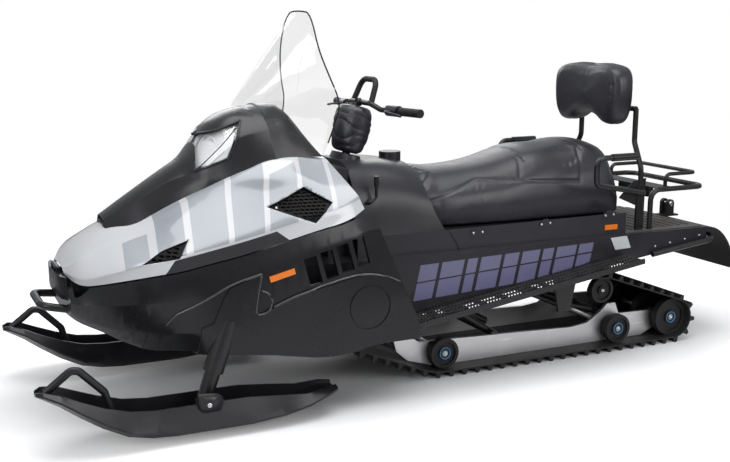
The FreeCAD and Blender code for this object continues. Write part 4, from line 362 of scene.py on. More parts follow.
# %% Hood paint
hood_paint, tree, paint = new_material("hood_paint")
sums = partial(math_node, tree)
spot, px, _, pz = object_axes(tree)
edge_x, edge_z, edge_slope = 1.09, 0.597, 0.2375
edge_line = sums("ADD", sums("MULTIPLY", sums("SUBTRACT", px, edge_x), edge_slope), pz)
above = sums("SUBTRACT", edge_line, edge_z)
bars_lean, bars_start, bars_length = 0.28, 0.66, 0.98
slanted = sums("ADD", px, sums("MULTIPLY", pz, bars_lean))
span = sums("DIVIDE", sums("SUBTRACT", slanted, bars_start), bars_length)
bars = step_ramp(tree, span, [
    (0.0, 0.055, 0.62), (0.075, 0.19, 0.95), (0.21, 0.315, 0.80), (0.335, 0.44, 1.0),
    (0.46, 0.575, 0.88), (0.60, 0.69, 1.0), (0.715, 0.80, 0.66), (0.82, 0.90, 0.45)])
bars_foot, tallest_bar, flash_top = 0.050, 0.37, 0.042
low_mask = sums("GREATER_THAN", above, bars_foot)
high_line = sums("ADD", above, sums("MULTIPLY", px, 0.10))
high_mask = sums("LESS_THAN", high_line, sums("MULTIPLY", bars, tallest_bar))
depth_of_tone = sums("ADD", sums("MULTIPLY", bars, 0.5), 0.5)
grey_mask = sums("MULTIPLY", sums("MULTIPLY", low_mask, high_mask), depth_of_tone)
soft = add_node(tree, "TexNoise", {"Vector": spot, "Scale": 3.2, "Detail": 1.0}).outputs["Fac"]
fade = sums("MULTIPLY", grey_mask, sums("ADD", sums("MULTIPLY", soft, 0.5), 0.45))
white_and_grey = mix_colors(tree, fade, (0.60, 0.61, 0.635, 1), (0.215, 0.245, 0.285, 1))
flash_front = sums("LESS_THAN", sums("ADD", px, above), 1.15)
flash_rear = sums("GREATER_THAN", sums("SUBTRACT", px, above), 0.70)
flash_low = sums("LESS_THAN", above, flash_top)
flash = sums("MULTIPLY", sums("MULTIPLY", flash_front, flash_rear), flash_low)
set_inputs(tree, paint, {
    "Base Color": mix_colors(tree, flash, white_and_grey, (0.014, 0.012, 0.016, 1)),
    "Roughness": 0.22, "Coat Weight": 0.7, "Coat Roughness": 0.05})
print("hood paint ready")

# %% [markdown]
# ## The tunnel's stripes
# A long strip of slanted lavender blocks runs along each side of the tunnel, paler above a
# line where the sheet is folded and darker below it. The strip is a mask from the Object
# coordinates: a ramp with hard steps gives the blocks, and straight lines bound them.

# %% Tunnel stripes
tunnel_paint = tunnel_coat.copy()
tunnel_paint.name = "tunnel_paint"
tree = tunnel_paint.node_tree
sums = partial(math_node, tree)
coat_shader = tree.nodes["Principled BSDF"]
under = coat_shader.inputs["Base Color"].links[0].from_socket
spot, tx, ty, tz = object_axes(tree)
lean_height, strip_lean, strip_behind, strip_length = 0.43, 0.22, 0.76, 0.86
leaning = sums("ADD", tx, sums("MULTIPLY", sums("SUBTRACT", tz, lean_height), strip_lean))
span = sums("DIVIDE", sums("ADD", leaning, strip_behind), strip_length)
blocks = step_ramp(tree, span, [(start, end, 1) for start, end in (
    (0.0, 0.085), (0.10, 0.215), (0.235, 0.30), (0.318, 0.42), (0.44, 0.52), (0.54, 0.655),
    (0.675, 0.73), (0.75, 0.87), (0.89, 0.985))])


def below_line(x0, z0, x1, z1, offset=0.0):
    """1 where a point of the tunnel's side lies under the line through both points."""
    slope = (z1 - z0) / (x1 - x0)
    line = sums("ADD", sums("MULTIPLY", sums("SUBTRACT", tx, x0), slope), z0 + offset)
    return sums("LESS_THAN", tz, line)


below_top = below_line(0.094, 0.502, -0.770, 0.525)
below_foot = sums("MAXIMUM", below_line(0.073, 0.357, -0.562, 0.390),
                  below_line(-0.562, 0.390, -0.774, 0.443))
fold_line, fold_half, side_wall = (0.093, 0.430, -0.772, 0.482), 0.003, 0.3195
fold_low = below_line(*fold_line, -fold_half)
fold_high = below_line(*fold_line, fold_half)
strip = blocks
for mask in (below_top, sums("SUBTRACT", 1.0, below_foot),
             sums("SUBTRACT", 1.0, sums("SUBTRACT", fold_high, fold_low)),
             sums("GREATER_THAN", sums("ABSOLUTE", ty), side_wall),
             sums("GREATER_THAN", span, 0.0), sums("LESS_THAN", span, 1.0)):
    strip = sums("MULTIPLY", strip, mask)
tone = mix_colors(tree, fold_low, (0.175, 0.170, 0.285, 1), (0.165, 0.160, 0.290, 1))
set_inputs(tree, coat_shader, {"Base Color": mix_colors(tree, strip, under, tone)})
print("tunnel stripes ready")

# %% [markdown]
# ## Giving the frame its finishes
# Nodes whose shape is right keep their mesh and only change material. A table from finish to
# nodes is easier to read and to change than a run of separate assignments.

# %% Finishes on the CAD nodes
cad_finish = (
    (hood_paint, "hood"), (mesh_black, "hood_grilles"), (gloss_plastic, "headlight_pod cowl"),
    (lamp_glass, "headlight"), (shield_sheet, "windshield"), (cast_grey, "engine"),
    (hull_plastic, "side_panel_left side_panel_right belly_pan nose_trim seat_box"),
    (cover_plastic, "side_cover_left side_cover_right fuel_tank fuel_cap console steering_collar controls"),
    (powder_coat, "hood_hinge front_bumper rear_bumper rear_rack tow_hitch backrest_frame grab_handles"
                  " shift_lever strut_housings drive_axle suspension_arms suspension_brackets"
                  " handlebar ski_spindle_left ski_spindle_right"),
    (tunnel_paint, "tunnel"), (board_coat, "running_board_left running_board_right"),
    (deck_coat, "rear_deck"), (red_lens, "tail_lamp"), (amber, "reflectors"),
    (seat_vinyl, "seat backrest_pad steering_pad"), (ski_plastic, "ski_left ski_right"),
    (rubber, "snow_flap idler_wheels rear_idlers grips bar_strap"), (track_rubber, "track"),
    (bare_aluminium, "slide_rails"),
)
dressed = 0
for material, names in cad_finish:
    for name in names.split():
        dressed += 1
        for slot in nodes[name].material_slots:
            slot.material = material
print("dressed nodes:", dressed, "of", len(nodes))

# %% [markdown]
# ## Surfaces from numbers
# A moulded skin is a function of two parameters. We could push vertices about by hand, but a
# table of cross-sections with their corners cut, first round each section and then along the
# machine, gives a smooth skin with as much crease as the spacing of the points leaves.

# %% Surface helpers
def cut_corners(points, rounds, axis):
    """Each round puts points a quarter in from both ends of every span; the ends stay."""
    points = np.moveaxis(np.asarray(points, float), axis, 0)
    for _ in range(rounds):
        first, second = points[:-1], points[1:]
        pair = np.stack([0.75 * first + 0.25 * second, 0.25 * first + 0.75 * second], axis=1)
        pair = pair.reshape((-1,) + points.shape[1:])
        points = np.concatenate([points[:1], pair, points[-1:]], axis=0)
    return np.moveaxis(points, 0, axis)


def grid_faces(rows, columns, wrap=False):
    """Quads of a rows by columns grid; wrap joins the last column to the first."""
    index = np.arange(rows * columns).reshape(rows, columns)
    if wrap:
        index = np.concatenate([index, index[:, :1]], axis=1)
    corners = [index[:-1, :-1], index[1:, :-1], index[1:, 1:], index[:-1, 1:]]
    return np.stack(corners, axis=-1).reshape(-1, 4)


def mesh_object(name, verts, faces, material):
    """A linked object from arrays, shaded smooth, normals outwards, doubles merged."""
    mesh = bpy.data.meshes.new(name)
    mesh.from_pydata(np.asarray(verts, float).reshape(-1, 3).tolist(), [],
                     [list(map(int, face)) for face in faces])
    work = bmesh.new()
    work.from_mesh(mesh)
    bmesh.ops.remove_doubles(work, verts=work.verts, dist=1e-5)
    bmesh.ops.recalc_face_normals(work, faces=work.faces)
    work.to_mesh(mesh)
    work.free()
    mesh.shade_smooth()
    mesh.materials.append(material)
    piece = bpy.data.objects.new(name, mesh)
    scene.collection.objects.link(piece)
    return piece


def grid_skin(name, points, material):
    """The skin over a grid of points."""
    return mesh_object(name, points, grid_faces(*points.shape[:2]), material)


def capped_loft(name, rings, material):
    """Closed rings joined in a row, each end closed with a fan to its middle."""
    rings = np.asarray(rings, float)
    count, around = rings.shape[:2]
    verts = np.concatenate([rings.reshape(-1, 3), rings[:1].mean(axis=1), rings[-1:].mean(axis=1)])
    faces = grid_faces(count, around, wrap=True).tolist()
    low, high = count * around, count * around + 1
    faces += [[low, (i + 1) % around, i] for i in range(around)]
    last = (count - 1) * around
    faces += [[high, last + i, last + (i + 1) % around] for i in range(around)]
    return mesh_object(name, verts, faces, material)


def tube_along(name, path, radius, material, sides):
    """A round tube: a ring of points square to the path at each of its points."""
    path = np.asarray(path, float)
    along = np.gradient(path, axis=0)
    along /= np.linalg.norm(along, axis=1, keepdims=True)
    spare = np.where(np.abs(along[:, 2:]) < 0.9, [[0, 0, 1.0]], [[1.0, 0, 0]])
    side = np.cross(along, spare)
    side /= np.linalg.norm(side, axis=1, keepdims=True)
    over = np.cross(side, along)
    turn = np.linspace(0, 2 * np.pi, sides, endpoint=False)[None, :, None]
    rings = path[:, None] + radius * (np.cos(turn) * side[:, None] + np.sin(turn) * over[:, None])
    return capped_loft(name, rings, material)


print("surface helpers ready")

# %% Finishing helpers
def vertex_array(mesh, what="co"):
    """The places of a mesh's vertices as an array, or what is named of them."""
    values = np.empty(len(mesh.vertices) * 3)
    mesh.vertices.foreach_get(what, values)
    return values.reshape(-1, 3)


def move_vertices(mesh, spots):
    """Put a mesh's vertices at new places."""
    mesh.vertices.foreach_set("co", spots.ravel())
    mesh.update()


def apply_modifiers(piece):
    """Bake the piece's modifiers into its mesh."""
    graph = bpy.context.evaluated_depsgraph_get()
    baked = bpy.data.meshes.new_from_object(piece.evaluated_get(graph))
    piece.modifiers.clear()
    piece.data = baked


def add_wall(piece, thickness):
    """A Solidify modifier that grows the wall inwards."""
    wall = piece.modifiers.new("wall", "SOLIDIFY")
    wall.thickness = thickness
    wall.offset = -1.0


def one_finish(piece, material, sharp=None):
    """One material and smooth shading all over; edges of more than sharp degrees stay sharp."""
    piece.data.materials.clear()
    piece.data.materials.append(material)
    piece.data.shade_smooth()
    if sharp:
        piece.data.set_sharp_from_angle(angle=math.radians(sharp))


def place_on(piece, body):
    """The piece rides on this body."""
    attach(piece, body)


print("finishing helpers ready")

# %% Calm normals
def calm_normals(mesh, reach, angle):
    """Each corner takes the mean facing of the skin within reach, where it turns less than angle."""
    mesh.calc_loop_triangles()
    spots = vertex_array(mesh)
    triples = np.empty(len(mesh.loop_triangles) * 3, int)
    mesh.loop_triangles.foreach_get("vertices", triples)
    first, second, third = (spots[triples.reshape(-1, 3)[:, k]] for k in range(3))
    square = np.cross(second - first, third - first)
    area = np.linalg.norm(square, axis=1) / 2
    facing = square / np.maximum(2 * area, 1e-12)[:, None]
    count = int(area.sum() / (0.25 * reach) ** 2)
    rng = np.random.default_rng(3)
    pick = rng.choice(len(area), count, p=area / area.sum())
    u, v = rng.random((2, count))
    u, v = np.where(u + v > 1, 1 - u, u), np.where(u + v > 1, 1 - v, v)
    samples = first[pick] + u[:, None] * (second - first)[pick] + v[:, None] * (third - first)[pick]
    tree = KDTree(count)
    for number, sample in enumerate(samples):
        tree.insert(sample, number)
    tree.balance()
    limit = math.cos(math.radians(angle))
    near = []
    for spot in spots:
        found = tree.find_range(spot, reach)
        near.append((np.array([f[1] for f in found], int), 1 - np.array([f[2] for f in found]) / reach))
    calm = np.empty((len(mesh.loops), 3))
    for polygon in mesh.polygons:
        own = np.array(polygon.normal)
        for corner in polygon.loop_indices:
            numbers, weights = near[mesh.loops[corner].vertex_index]
            normals = facing[pick[numbers]]
            kept = normals @ own > limit
            total = (normals[kept] * weights[kept, None]).sum(axis=0)
            length = np.linalg.norm(total)
            calm[corner] = total / length if length > 1e-9 else own
    mesh.shade_smooth()
    mesh.normals_split_custom_set(calm.tolist())


def smooth_copy(node, body, reach, angle, material):
    """A merged copy of a frame mesh whose facets are calmed; clear edges stay."""
    mesh = nodes[node].data.copy()
    work = bmesh.new()
    work.from_mesh(mesh)
    bmesh.ops.remove_doubles(work, verts=work.verts, dist=2e-5)
    bmesh.ops.dissolve_degenerate(work, edges=work.edges, dist=1e-6)
    work.to_mesh(mesh)
    work.free()
    calm_normals(mesh, reach, angle)
    mesh.materials.clear()
    mesh.materials.append(material)
    piece = bpy.data.objects.new(node + "_skin", mesh)
    scene.collection.objects.link(piece)
    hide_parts(node)
    place_on(piece, body)


print("smooth copies can be made")

# %% [markdown]
# ## The hood
# On the real machine one large moulding covers the engine, with a crease from the nose to
# the shield and a fuller side below it. Sections every hand's width, each from the lower
# edge over the shoulder and the crease to the middle, describe it; cutting their corners
# rounds it. The two openings on each side are cut by prisms after the skin has its wall.
# A row of the table holds a section's place as a share of the length, then width and height
# of the edge, the shoulder and the crease as shares, and the height of the middle.

# %% Hood skin
hood_table = np.array([
    (0.007, 0.23, 0.060, 0.23, 0.070, 0.17, 0.090, 0.100),
    (0.027, 0.40, 0.010, 0.41, 0.060, 0.31, 0.130, 0.170),
    (0.055, 0.53, 0.000, 0.54, 0.060, 0.36, 0.200, 0.255),
    (0.110, 0.66, 0.040, 0.65, 0.120, 0.37, 0.270, 0.365),
    (0.170, 0.755, 0.075, 0.74, 0.180, 0.375, 0.340, 0.450),
    (0.255, 0.835, 0.115, 0.81, 0.230, 0.385, 0.410, 0.520),
    (0.335, 0.895, 0.145, 0.86, 0.270, 0.415, 0.520, 0.610),
    (0.420, 0.94, 0.200, 0.90, 0.330, 0.420, 0.640, 0.710),
    (0.510, 0.97, 0.245, 0.93, 0.390, 0.460, 0.760, 0.825),
    (0.600, 0.99, 0.300, 0.95, 0.450, 0.520, 0.870, 0.940),
    (0.700, 1.00, 0.365, 0.96, 0.510, 0.580, 0.980, 1.050),
    (0.800, 1.00, 0.425, 0.96, 0.560, 0.560, 0.985, 1.050),
    (0.910, 0.985, 0.470, 0.95, 0.610, 0.500, 0.975, 1.040),
    (1.000, 0.92, 0.560, 0.89, 0.680, 0.480, 0.950, 1.010),
])
hood_front, hood_length, hood_half = 1.460, 1.100, 0.480
hood_low, hood_tall = 0.535, 0.430
hood_y = hood_table[:, (1, 3, 5)] * hood_half
hood_z = hood_low + hood_table[:, (2, 4, 6, 7)] * hood_tall


def between(first, second, share, out=0.0):
    """A point part way from one corner of a section to another, pushed outwards by out."""
    return (first[0] * (1 - share) + second[0] * share + out,
            first[1] * (1 - share) + second[1] * share)


def both_halves(x, half, closed=False):
    """Whole sections from the left halves of their corners; closed ones have a flat foot."""
    left = np.stack([np.stack([x, y, z], axis=-1) for y, z in half], axis=1)
    return np.concatenate([left, left[:, -2:0 if closed else None:-1] * [1, -1, 1]], axis=1)


edge, shoulder, crease = ((hood_y[:, i], hood_z[:, i]) for i in range(3))
middle_z = hood_z[:, 3]
half = [edge, between(edge, shoulder, 0.7), (shoulder[0] + 0.002, shoulder[1]),
        between(shoulder, crease, 0.25, 0.004), between(shoulder, crease, 0.6, 0.006),
        between(shoulder, crease, 0.9, 0.004), (crease[0], crease[1] + 0.003),
        (crease[0] * 0.9, crease[1] * 0.82 + middle_z * 0.18 + 0.002),
        (crease[0] * 0.5, crease[1] * 0.25 + middle_z * 0.75), (crease[0] * 0.0, middle_z)]
hood_net = both_halves(hood_front - hood_table[:, 0] * hood_length, half)
hood_points = cut_corners(cut_corners(hood_net, 3, 1), 3, 0)

# The rear edge leans with the shield: the last sections are squeezed up to that line.
rear_low, rear_high, squeeze_from = (0.371, 0.750), (0.4645, 0.985), 0.62
hood_x = hood_points[..., 0]
lean = np.clip((hood_points[..., 2] - rear_low[1]) / (rear_high[1] - rear_low[1]), 0, 1)
rear_x = rear_low[0] + lean * (rear_high[0] - rear_low[0])
squeeze = (squeeze_from - rear_x) / (squeeze_from - hood_x.min())
moved = squeeze_from - (squeeze_from - hood_x) * squeeze
hood_points[..., 0] = np.where(hood_x < squeeze_from, moved, hood_x)
print("hood grid:", hood_points.shape)

# %% [markdown]
# Shallow folds run over the hood's side: one from the lower opening up towards the lamps, one
# over the upper opening. A fold is a ridge along a line in side view, so each point of the
# skin is pushed outwards by a bell curve of its distance from that line.

# %% Folds of the hood
def path_distance(points, path):
    """Shortest distance from each point to a run of straight lines, and the share along it."""
    best = np.full(points.shape[:-1], 9.0)
    along = np.zeros(points.shape[:-1])
    path = np.asarray(path, float)
    for i in range(len(path) - 1):
        start, step = path[i], path[i + 1] - path[i]
        share = np.clip(((points - start) @ step) / (step @ step), 0, 1)
        gap = np.linalg.norm(points - (start + share[..., None] * step), axis=-1)
        nearer = gap < best
        best = np.where(nearer, gap, best)
        along = np.where(nearer, (i + share) / (len(path) - 1), along)
    return best, along


def bell(gap, width):
    """1 on the line, falling away on both sides as a bell curve of the distance to it."""
    return np.exp(-(gap / width) ** 2)


def fold(points, path, height, width):
    """Push the skin sideways and up by height, as a bell curve of the distance to path."""
    gap, along = path_distance(points[..., (0, 2)], path)
    fade_ends = np.sin(np.pi * np.clip(along, 0.02, 0.98)) ** 0.6
    push = height * bell(gap, width) * fade_ends
    side = np.sign(points[..., 1]) * np.clip(np.abs(points[..., 1]) / 0.15, 0, 1)
    points[..., 1] += push * side * 0.75
    points[..., 2] += push * 0.55


for path, height, width in (
        ([(1.36, 0.640), (1.22, 0.690), (1.10, 0.735), (0.98, 0.800)], 0.007, 0.022),
        ([(0.98, 0.860), (0.80, 0.895), (0.62, 0.900), (0.50, 0.850)], 0.008, 0.026),
        ([(1.25, 0.640), (1.08, 0.645), (0.90, 0.690)], -0.006, 0.030),
        ([(0.78, 0.700), (0.60, 0.760), (0.46, 0.800)], -0.006, 0.034)):
    fold(hood_points, path, height, width)
print("hood folds pressed")

# %% Cutters
def side_prism(name, outline, y_first, y_second, material=hood_paint):
    """An outline in side view carried across between two places; it may serve as a cutter."""
    outline = np.asarray(outline, float)
    rings = [np.stack([outline[:, 0], np.full(len(outline), y), outline[:, 1]], axis=-1)
             for y in sorted((y_first, y_second))]
    return capped_loft(name, rings, material)


def cut_with(piece, cutter, operation="DIFFERENCE", meets_itself=False):
    """Take the cutter's space out of the piece, or keep only that, and drop the cutter."""
    tool = piece.modifiers.new("opening", "BOOLEAN")
    tool.operation = operation
    tool.object = cutter
    tool.solver = "EXACT"
    tool.use_self = meets_itself
    apply_modifiers(piece)
    bpy.data.objects.remove(cutter)


print("cutters ready")

# %% Hood object
hood_skin = grid_skin("hood_skin", hood_points, hood_paint)
add_wall(hood_skin, thickness=0.005)
apply_modifiers(hood_skin)

# An opening: its middle and half size as shares of the hood, and its corners in half sizes.
vents = []
for x_share, z_share, half_length, half_height, corners in (
        (0.753, 0.62, 0.112, 0.145, [(1, 0), (-0.25, 1), (-1, 0.1), (-0.35, -1)]),
        (0.298, 0.285, 0.080, 0.085, [(1, -1), (0.1, 0.1), (-1, 1.1), (-0.45, -0.5)])):
    middle = np.array([hood_front - x_share * hood_length, hood_low + z_share * hood_tall])
    vents.append(middle + np.array([half_length * hood_length, half_height * hood_tall]) * corners)
for side, label in both_sides:
    for outline in vents:
        cut_with(hood_skin, side_prism("cutter", outline, side * 0.15, side * 0.60))
one_finish(hood_skin, hood_paint)
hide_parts("hood")
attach(hood_skin, "hood")
print("hood faces:", len(hood_skin.data.polygons))

# %% [markdown]
# ## The headlight pod
# A second moulding in gloss black sits on the hood from the tip between the folds up to the
# shield. It has the same kind of table as the hood, with the brow over the lamps as the
# widest step.

# %% Pod skin
pod_table = np.array([
    (0.00, 0.29, 0.02, 0.20, 0.09, 0.115), (0.13, 0.53, 0.04, 0.27, 0.19, 0.232),
    (0.28, 0.55, 0.12, 0.32, 0.31, 0.363), (0.41, 0.58, 0.20, 0.38, 0.41, 0.474),
    (0.52, 0.66, 0.25, 0.50, 0.45, 0.570), (0.58, 0.72, 0.28, 0.60, 0.52, 0.670),
    (0.63, 0.75, 0.31, 0.64, 0.58, 0.780), (0.72, 0.82, 0.41, 0.68, 0.69, 0.885),
    (0.84, 0.90, 0.49, 0.69, 0.78, 0.973), (1.00, 0.97, 0.56, 0.68, 0.82, 1.000),
])
pod_front, pod_length, pod_half = 1.285, 0.617, 0.280
pod_low, pod_tall = 0.700, 0.452
pod_y = pod_table[:, (1, 3)] * pod_half
pod_z = pod_low + pod_table[:, (2, 4, 5)] * pod_tall
edge, brow = ((pod_y[:, i], pod_z[:, i]) for i in range(2))
middle_z = pod_z[:, 2]
half = [edge, between(edge, brow, 0.4), between(edge, brow, 0.88), brow,
        (brow[0] * 0.88, brow[1] * 0.76 + middle_z * 0.24),
        (brow[0] * 0.5, brow[1] * 0.22 + middle_z * 0.78), (brow[0] * 0.0, middle_z)]
pod_net = both_halves(pod_front - pod_table[:, 0] * pod_length, half)
pod_points = cut_corners(cut_corners(pod_net, 3, 1), 3, 0)
fold(pod_points, [(0.960, 1.020), (0.900, 1.058), (0.850, 1.082), (0.800, 1.105), (0.740, 1.120)],
     height=0.013, width=0.017)
fold(pod_points, [(1.10, 0.800), (0.98, 0.860), (0.84, 0.900), (0.72, 0.930)], height=0.006, width=0.030)
tip = pod_points[:1] + [0.004, 0, -0.03]
pod_points = np.concatenate([tip, pod_points])

pod_skin = grid_skin("pod_skin", pod_points, gloss_plastic)
add_wall(pod_skin, thickness=0.004)
apply_modifiers(pod_skin)
lamp_side = np.array([(0.9117, 1.0367), (0.9518, 0.9161), (0.8352, 0.9649), (0.7649, 1.0950)])
lamp_outer = 0.32
for side, label in both_sides:
    cut_with(pod_skin, side_prism("cutter", lamp_side, side * 0.012, side * lamp_outer))
one_finish(pod_skin, gloss_plastic)
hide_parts("headlight_pod")
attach(pod_skin, "hood")
print("pod faces:", len(pod_skin.data.polygons))

# %% [markdown]
# ## The lamps
# Behind each opening sits a bright tray with a round bowl, and a clear cover carries on the
# pod's own skin. The tray's near-white, hardly metallic finish is partly the reflector's own
# brightness and partly a painted reflection of a soft box in the cover. The cover and the tray
# are cut from thickened copies of the pod's grid with the same prism as the opening, made a
# little smaller or larger, so all three agree.

# %% Lamp helpers
def lamp_outline(scale):
    """The lamp's outline in side view, scaled about its middle."""
    middle = lamp_side.mean(axis=0)
    return middle + (lamp_side - middle) * scale


def cut_from_pod(name, side, material, scale, inset, thickness):
    """The part of the pod's skin inside a lamp, moved inwards by inset and given a wall."""
    skin = grid_skin(name, pod_points, material)
    spots = vertex_array(skin.data) - vertex_array(skin.data, "normal") * inset
    skin.data.vertices.foreach_set("co", spots.ravel())
    add_wall(skin, thickness)
    prism = side_prism("cutter", lamp_outline(scale), side * 0.013, side * lamp_outer)
    cut_with(skin, prism, "INTERSECT", meets_itself=True)
    one_finish(skin, material, sharp=35)
    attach(skin, "hood")
    return skin


def ring_round(axis, sides):
    """Directions all round an axis and square to it, with the axis at length 1."""
    axis = np.asarray(axis, float) / np.linalg.norm(axis)
    spare = np.array([0, 0, 1.0]) if abs(axis[2]) < 0.9 else np.array([1.0, 0, 0])
    side = np.cross(axis, spare)
    side /= np.linalg.norm(side)
    over = np.cross(axis, side)
    turn = np.linspace(0, 2 * np.pi, sides, endpoint=False)[:, None]
    return np.cos(turn) * side + np.sin(turn) * over, axis


def lathe(name, profile, centre, axis, material, sides=32):
    """A profile of (radius, height) turned about an axis through centre."""
    around, axis = ring_round(axis, sides)
    profile = np.asarray(profile, float)[..., None, None]
    rings = np.asarray(centre, float) + profile[:, 1] * axis + profile[:, 0] * around
    return capped_loft(name, rings, material)


print("lamp helpers ready")

# %% Lamp pieces
bowl_profile = [(0.044, 0.004), (0.046, 0.003), (0.045, 0.0), (0.036, -0.016), (0.022, -0.026),
                (0.008, -0.029), (0.0005, -0.029), (0.0005, -0.027), (0.008, -0.027),
                (0.021, -0.024), (0.034, -0.015), (0.042, 0.001)]
bulb_profile = [(0.004, -0.028), (0.008, -0.020), (0.0085, -0.010), (0.006, -0.002), (0.0005, 0.0)]
for side, label in both_sides:
    cover = cut_from_pod("lamp_cover_" + label, side, lamp_glass, scale=0.985, inset=0.0005, thickness=0.0025)
    # The tray's near white is partly a painted reflection of a soft box.
    tray = cut_from_pod("lamp_tray_" + label, side, reflector_and_painted_reflection, scale=1.02, inset=0.024, thickness=0.003)
    bowl_middle, beam = (0.872, side * 0.078, 0.995), (0.90, side * 0.30, 0.12)
    bowl = lathe("lamp_bowl_" + label, bowl_profile, bowl_middle, beam, chrome)
    place_on(bowl, "hood")
    bulb = lathe("lamp_bulb_" + label, bulb_profile, bowl_middle, beam, lamp_glass, sides=20)
    place_on(bulb, "hood")
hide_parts("headlight")

# %% [markdown]
# A narrow gloss bead frames each lamp, and one bar crosses the cover from its lower front
# corner to the upper rear one. Both follow the pod's skin: a point given in side view takes
# its third coordinate from the nearest points of the pod's grid.

# %% Lamp beads
pod_flat = pod_points.reshape(-1, 3)
pod_flat = pod_flat[pod_flat[:, 1] > 0.004]


def even_points(path, fewest, step=0.008):
    """Points about a step apart along straight lines in side view, and no fewer than fewest."""
    path = np.asarray(path, float)
    far = np.concatenate([[0], np.cumsum(np.linalg.norm(np.diff(path, axis=0), axis=1))])
    steps = np.linspace(0, far[-1], max(fewest, int(far[-1] / step)))
    return np.stack([np.interp(steps, far, path[:, i]) for i in (0, 1)], axis=1)


def on_pod(path):
    """Points along a path in side view, laid on the left of the pod."""
    flat = even_points(path, fewest=4)
    gap = np.linalg.norm(pod_flat[None][..., (0, 2)] - flat[:, None], axis=-1)
    nearest = np.argsort(gap, axis=1)[:, :6]
    weight = 1 / (np.take_along_axis(gap, nearest, 1) + 1e-4) ** 2
    y = (pod_flat[nearest, 1] * weight).sum(1) / weight.sum(1)
    return np.stack([flat[:, 0], y, flat[:, 1]], axis=1)


frame_side = lamp_outline(1.03)
for side, label in both_sides:
    for part, route, thick in (("brow", frame_side[[0, 3]], 0.0060), ("rear", frame_side[[3, 2]], 0.0042),
                               ("sill", frame_side[[2, 1]], 0.0042),
                               ("bar", lamp_outline(0.97)[[1, 3]], 0.0020)):
        bead = tube_along("lamp_%s_%s" % (part, label), on_pod(route) * [1, side, 1], thick, gloss_plastic, 10)
        place_on(bead, "hood")
print("lamp beads laid")

# %% [markdown]
# ## The shield's edge
# A bent clear sheet shows itself by its edge: a thin dark bead runs up one side, over the top
# and down the other. Its points are the ends of the sheet's own rungs.

# %% Shield bead
shield_rungs = np.array([(1.05, 0.78, -0.53), (1.13, 0.94, -0.22), (1.20, 1.00, 0.00), (1.16, 0.99, 0.14),
                         (1.09, 0.88, 0.33), (1.02, 0.70, 0.60), (1.02, 0.52, 0.87), (1.03, 0.33, 0.98)])
shield_front, shield_reach, shield_half = 0.752, 0.278, 0.302
shield_foot, shield_tall, shield_edge = 1.150, 0.360, 0.002
edge = np.stack([shield_front - shield_rungs[:, 0] * shield_reach,
                 shield_rungs[:, 1] * shield_half - shield_edge,
                 shield_foot + shield_rungs[:, 2] * shield_tall], axis=1)
top_middle = np.array([0.474, 1.508])
across = np.array([0.7, 0.35, 0.0, -0.35, -0.7])
top = top_middle + (edge[-1, [0, 2]] - top_middle) * across[:, None] ** 2
top = np.stack([top[:, 0], across * edge[-1, 1], top[:, 1]], axis=1)
start = edge[0] * 0.55 + edge[1] * 0.45
left = np.concatenate([[start], edge[1:]])
bead_path = cut_corners(np.concatenate([left, top, (left * [1, -1, 1])[::-1]]), 2, 0)
shield_bead = tube_along("shield_bead", bead_path, radius=0.0030, material=rubber, sides=8)
place_on(shield_bead, "hood")
print("shield bead points:", len(bead_path))

# %% [markdown]
# ## Soft pieces
# Foam under a stretched cover swells between its seams. A plain subdivided box looks like
# soap, so the piece starts a little small, is given an even mesh, and Blender's cloth blows
# it up for a few frames with the movement capped; seams are pressed in afterwards, because
# the even mesh would wipe them out.

# %% Swell with cloth
def swell(piece, voxel, frames, cap, pressure=4.0):
    """Remesh evenly, inflate as cloth with no gravity, and keep each point within cap of its start."""
    even = piece.modifiers.new("even", "REMESH")
    even.mode = "VOXEL"
    even.voxel_size = voxel
    apply_modifiers(piece)
    start = vertex_array(piece.data)
    moved = start
    cloth = piece.modifiers.new("cloth", "CLOTH")
    cloth.settings.use_pressure = True
    cloth.settings.uniform_pressure_force = pressure
    cloth.settings.quality = 5
    cloth.settings.mass = 0.3
    cloth.settings.tension_stiffness = 15
    cloth.settings.compression_stiffness = 15
    cloth.settings.shear_stiffness = 5
    cloth.settings.bending_stiffness = 0.5
    cloth.settings.effector_weights.gravity = 0.0
    cloth.collision_settings.use_collision = False
    cloth.point_cache.frame_end = frames
    for step in range(1, frames + 1):
        scene.frame_set(step)
    graph = bpy.context.evaluated_depsgraph_get()
    moved = vertex_array(piece.evaluated_get(graph).data)
    piece.modifiers.clear()
    scene.frame_set(1)
    shift = moved - start
    length = np.linalg.norm(shift, axis=1, keepdims=True)
    move_vertices(piece.data, start + shift * np.minimum(1.0, cap / np.maximum(length, 1e-9)))
    print(piece.name, "points", len(start), "largest move", round(float(length.max()), 4))


def press_seams(piece, gap, depth, width):
    """Move the skin inwards by depth along the seams, as a bell curve of the distance to them."""
    inwards = -vertex_array(piece.data, "normal")
    move_vertices(piece.data, vertex_array(piece.data) + inwards * (depth * bell(gap, width))[:, None])


def nearest_path(spots, paths):
    """Shortest distance from each point to any of the paths."""
    return np.min([path_distance(spots, path)[0] for path in paths], axis=0)


def settle(piece):
    """One smooth subdivision at the end, applied."""
    smooth = piece.modifiers.new("smooth", "SUBSURF")
    smooth.levels = smooth.render_levels = 1
    apply_modifiers(piece)
    piece.data.shade_smooth()


print("cloth helpers ready")

# %% [markdown]
# ## The seat
# One long saddle for two: low and narrow behind the tank, then a step up to the passenger's
# place, and a rounded tail. Its sections follow the frame's seat a few millimetres inside, so
# that the swollen cover ends where the solid is.

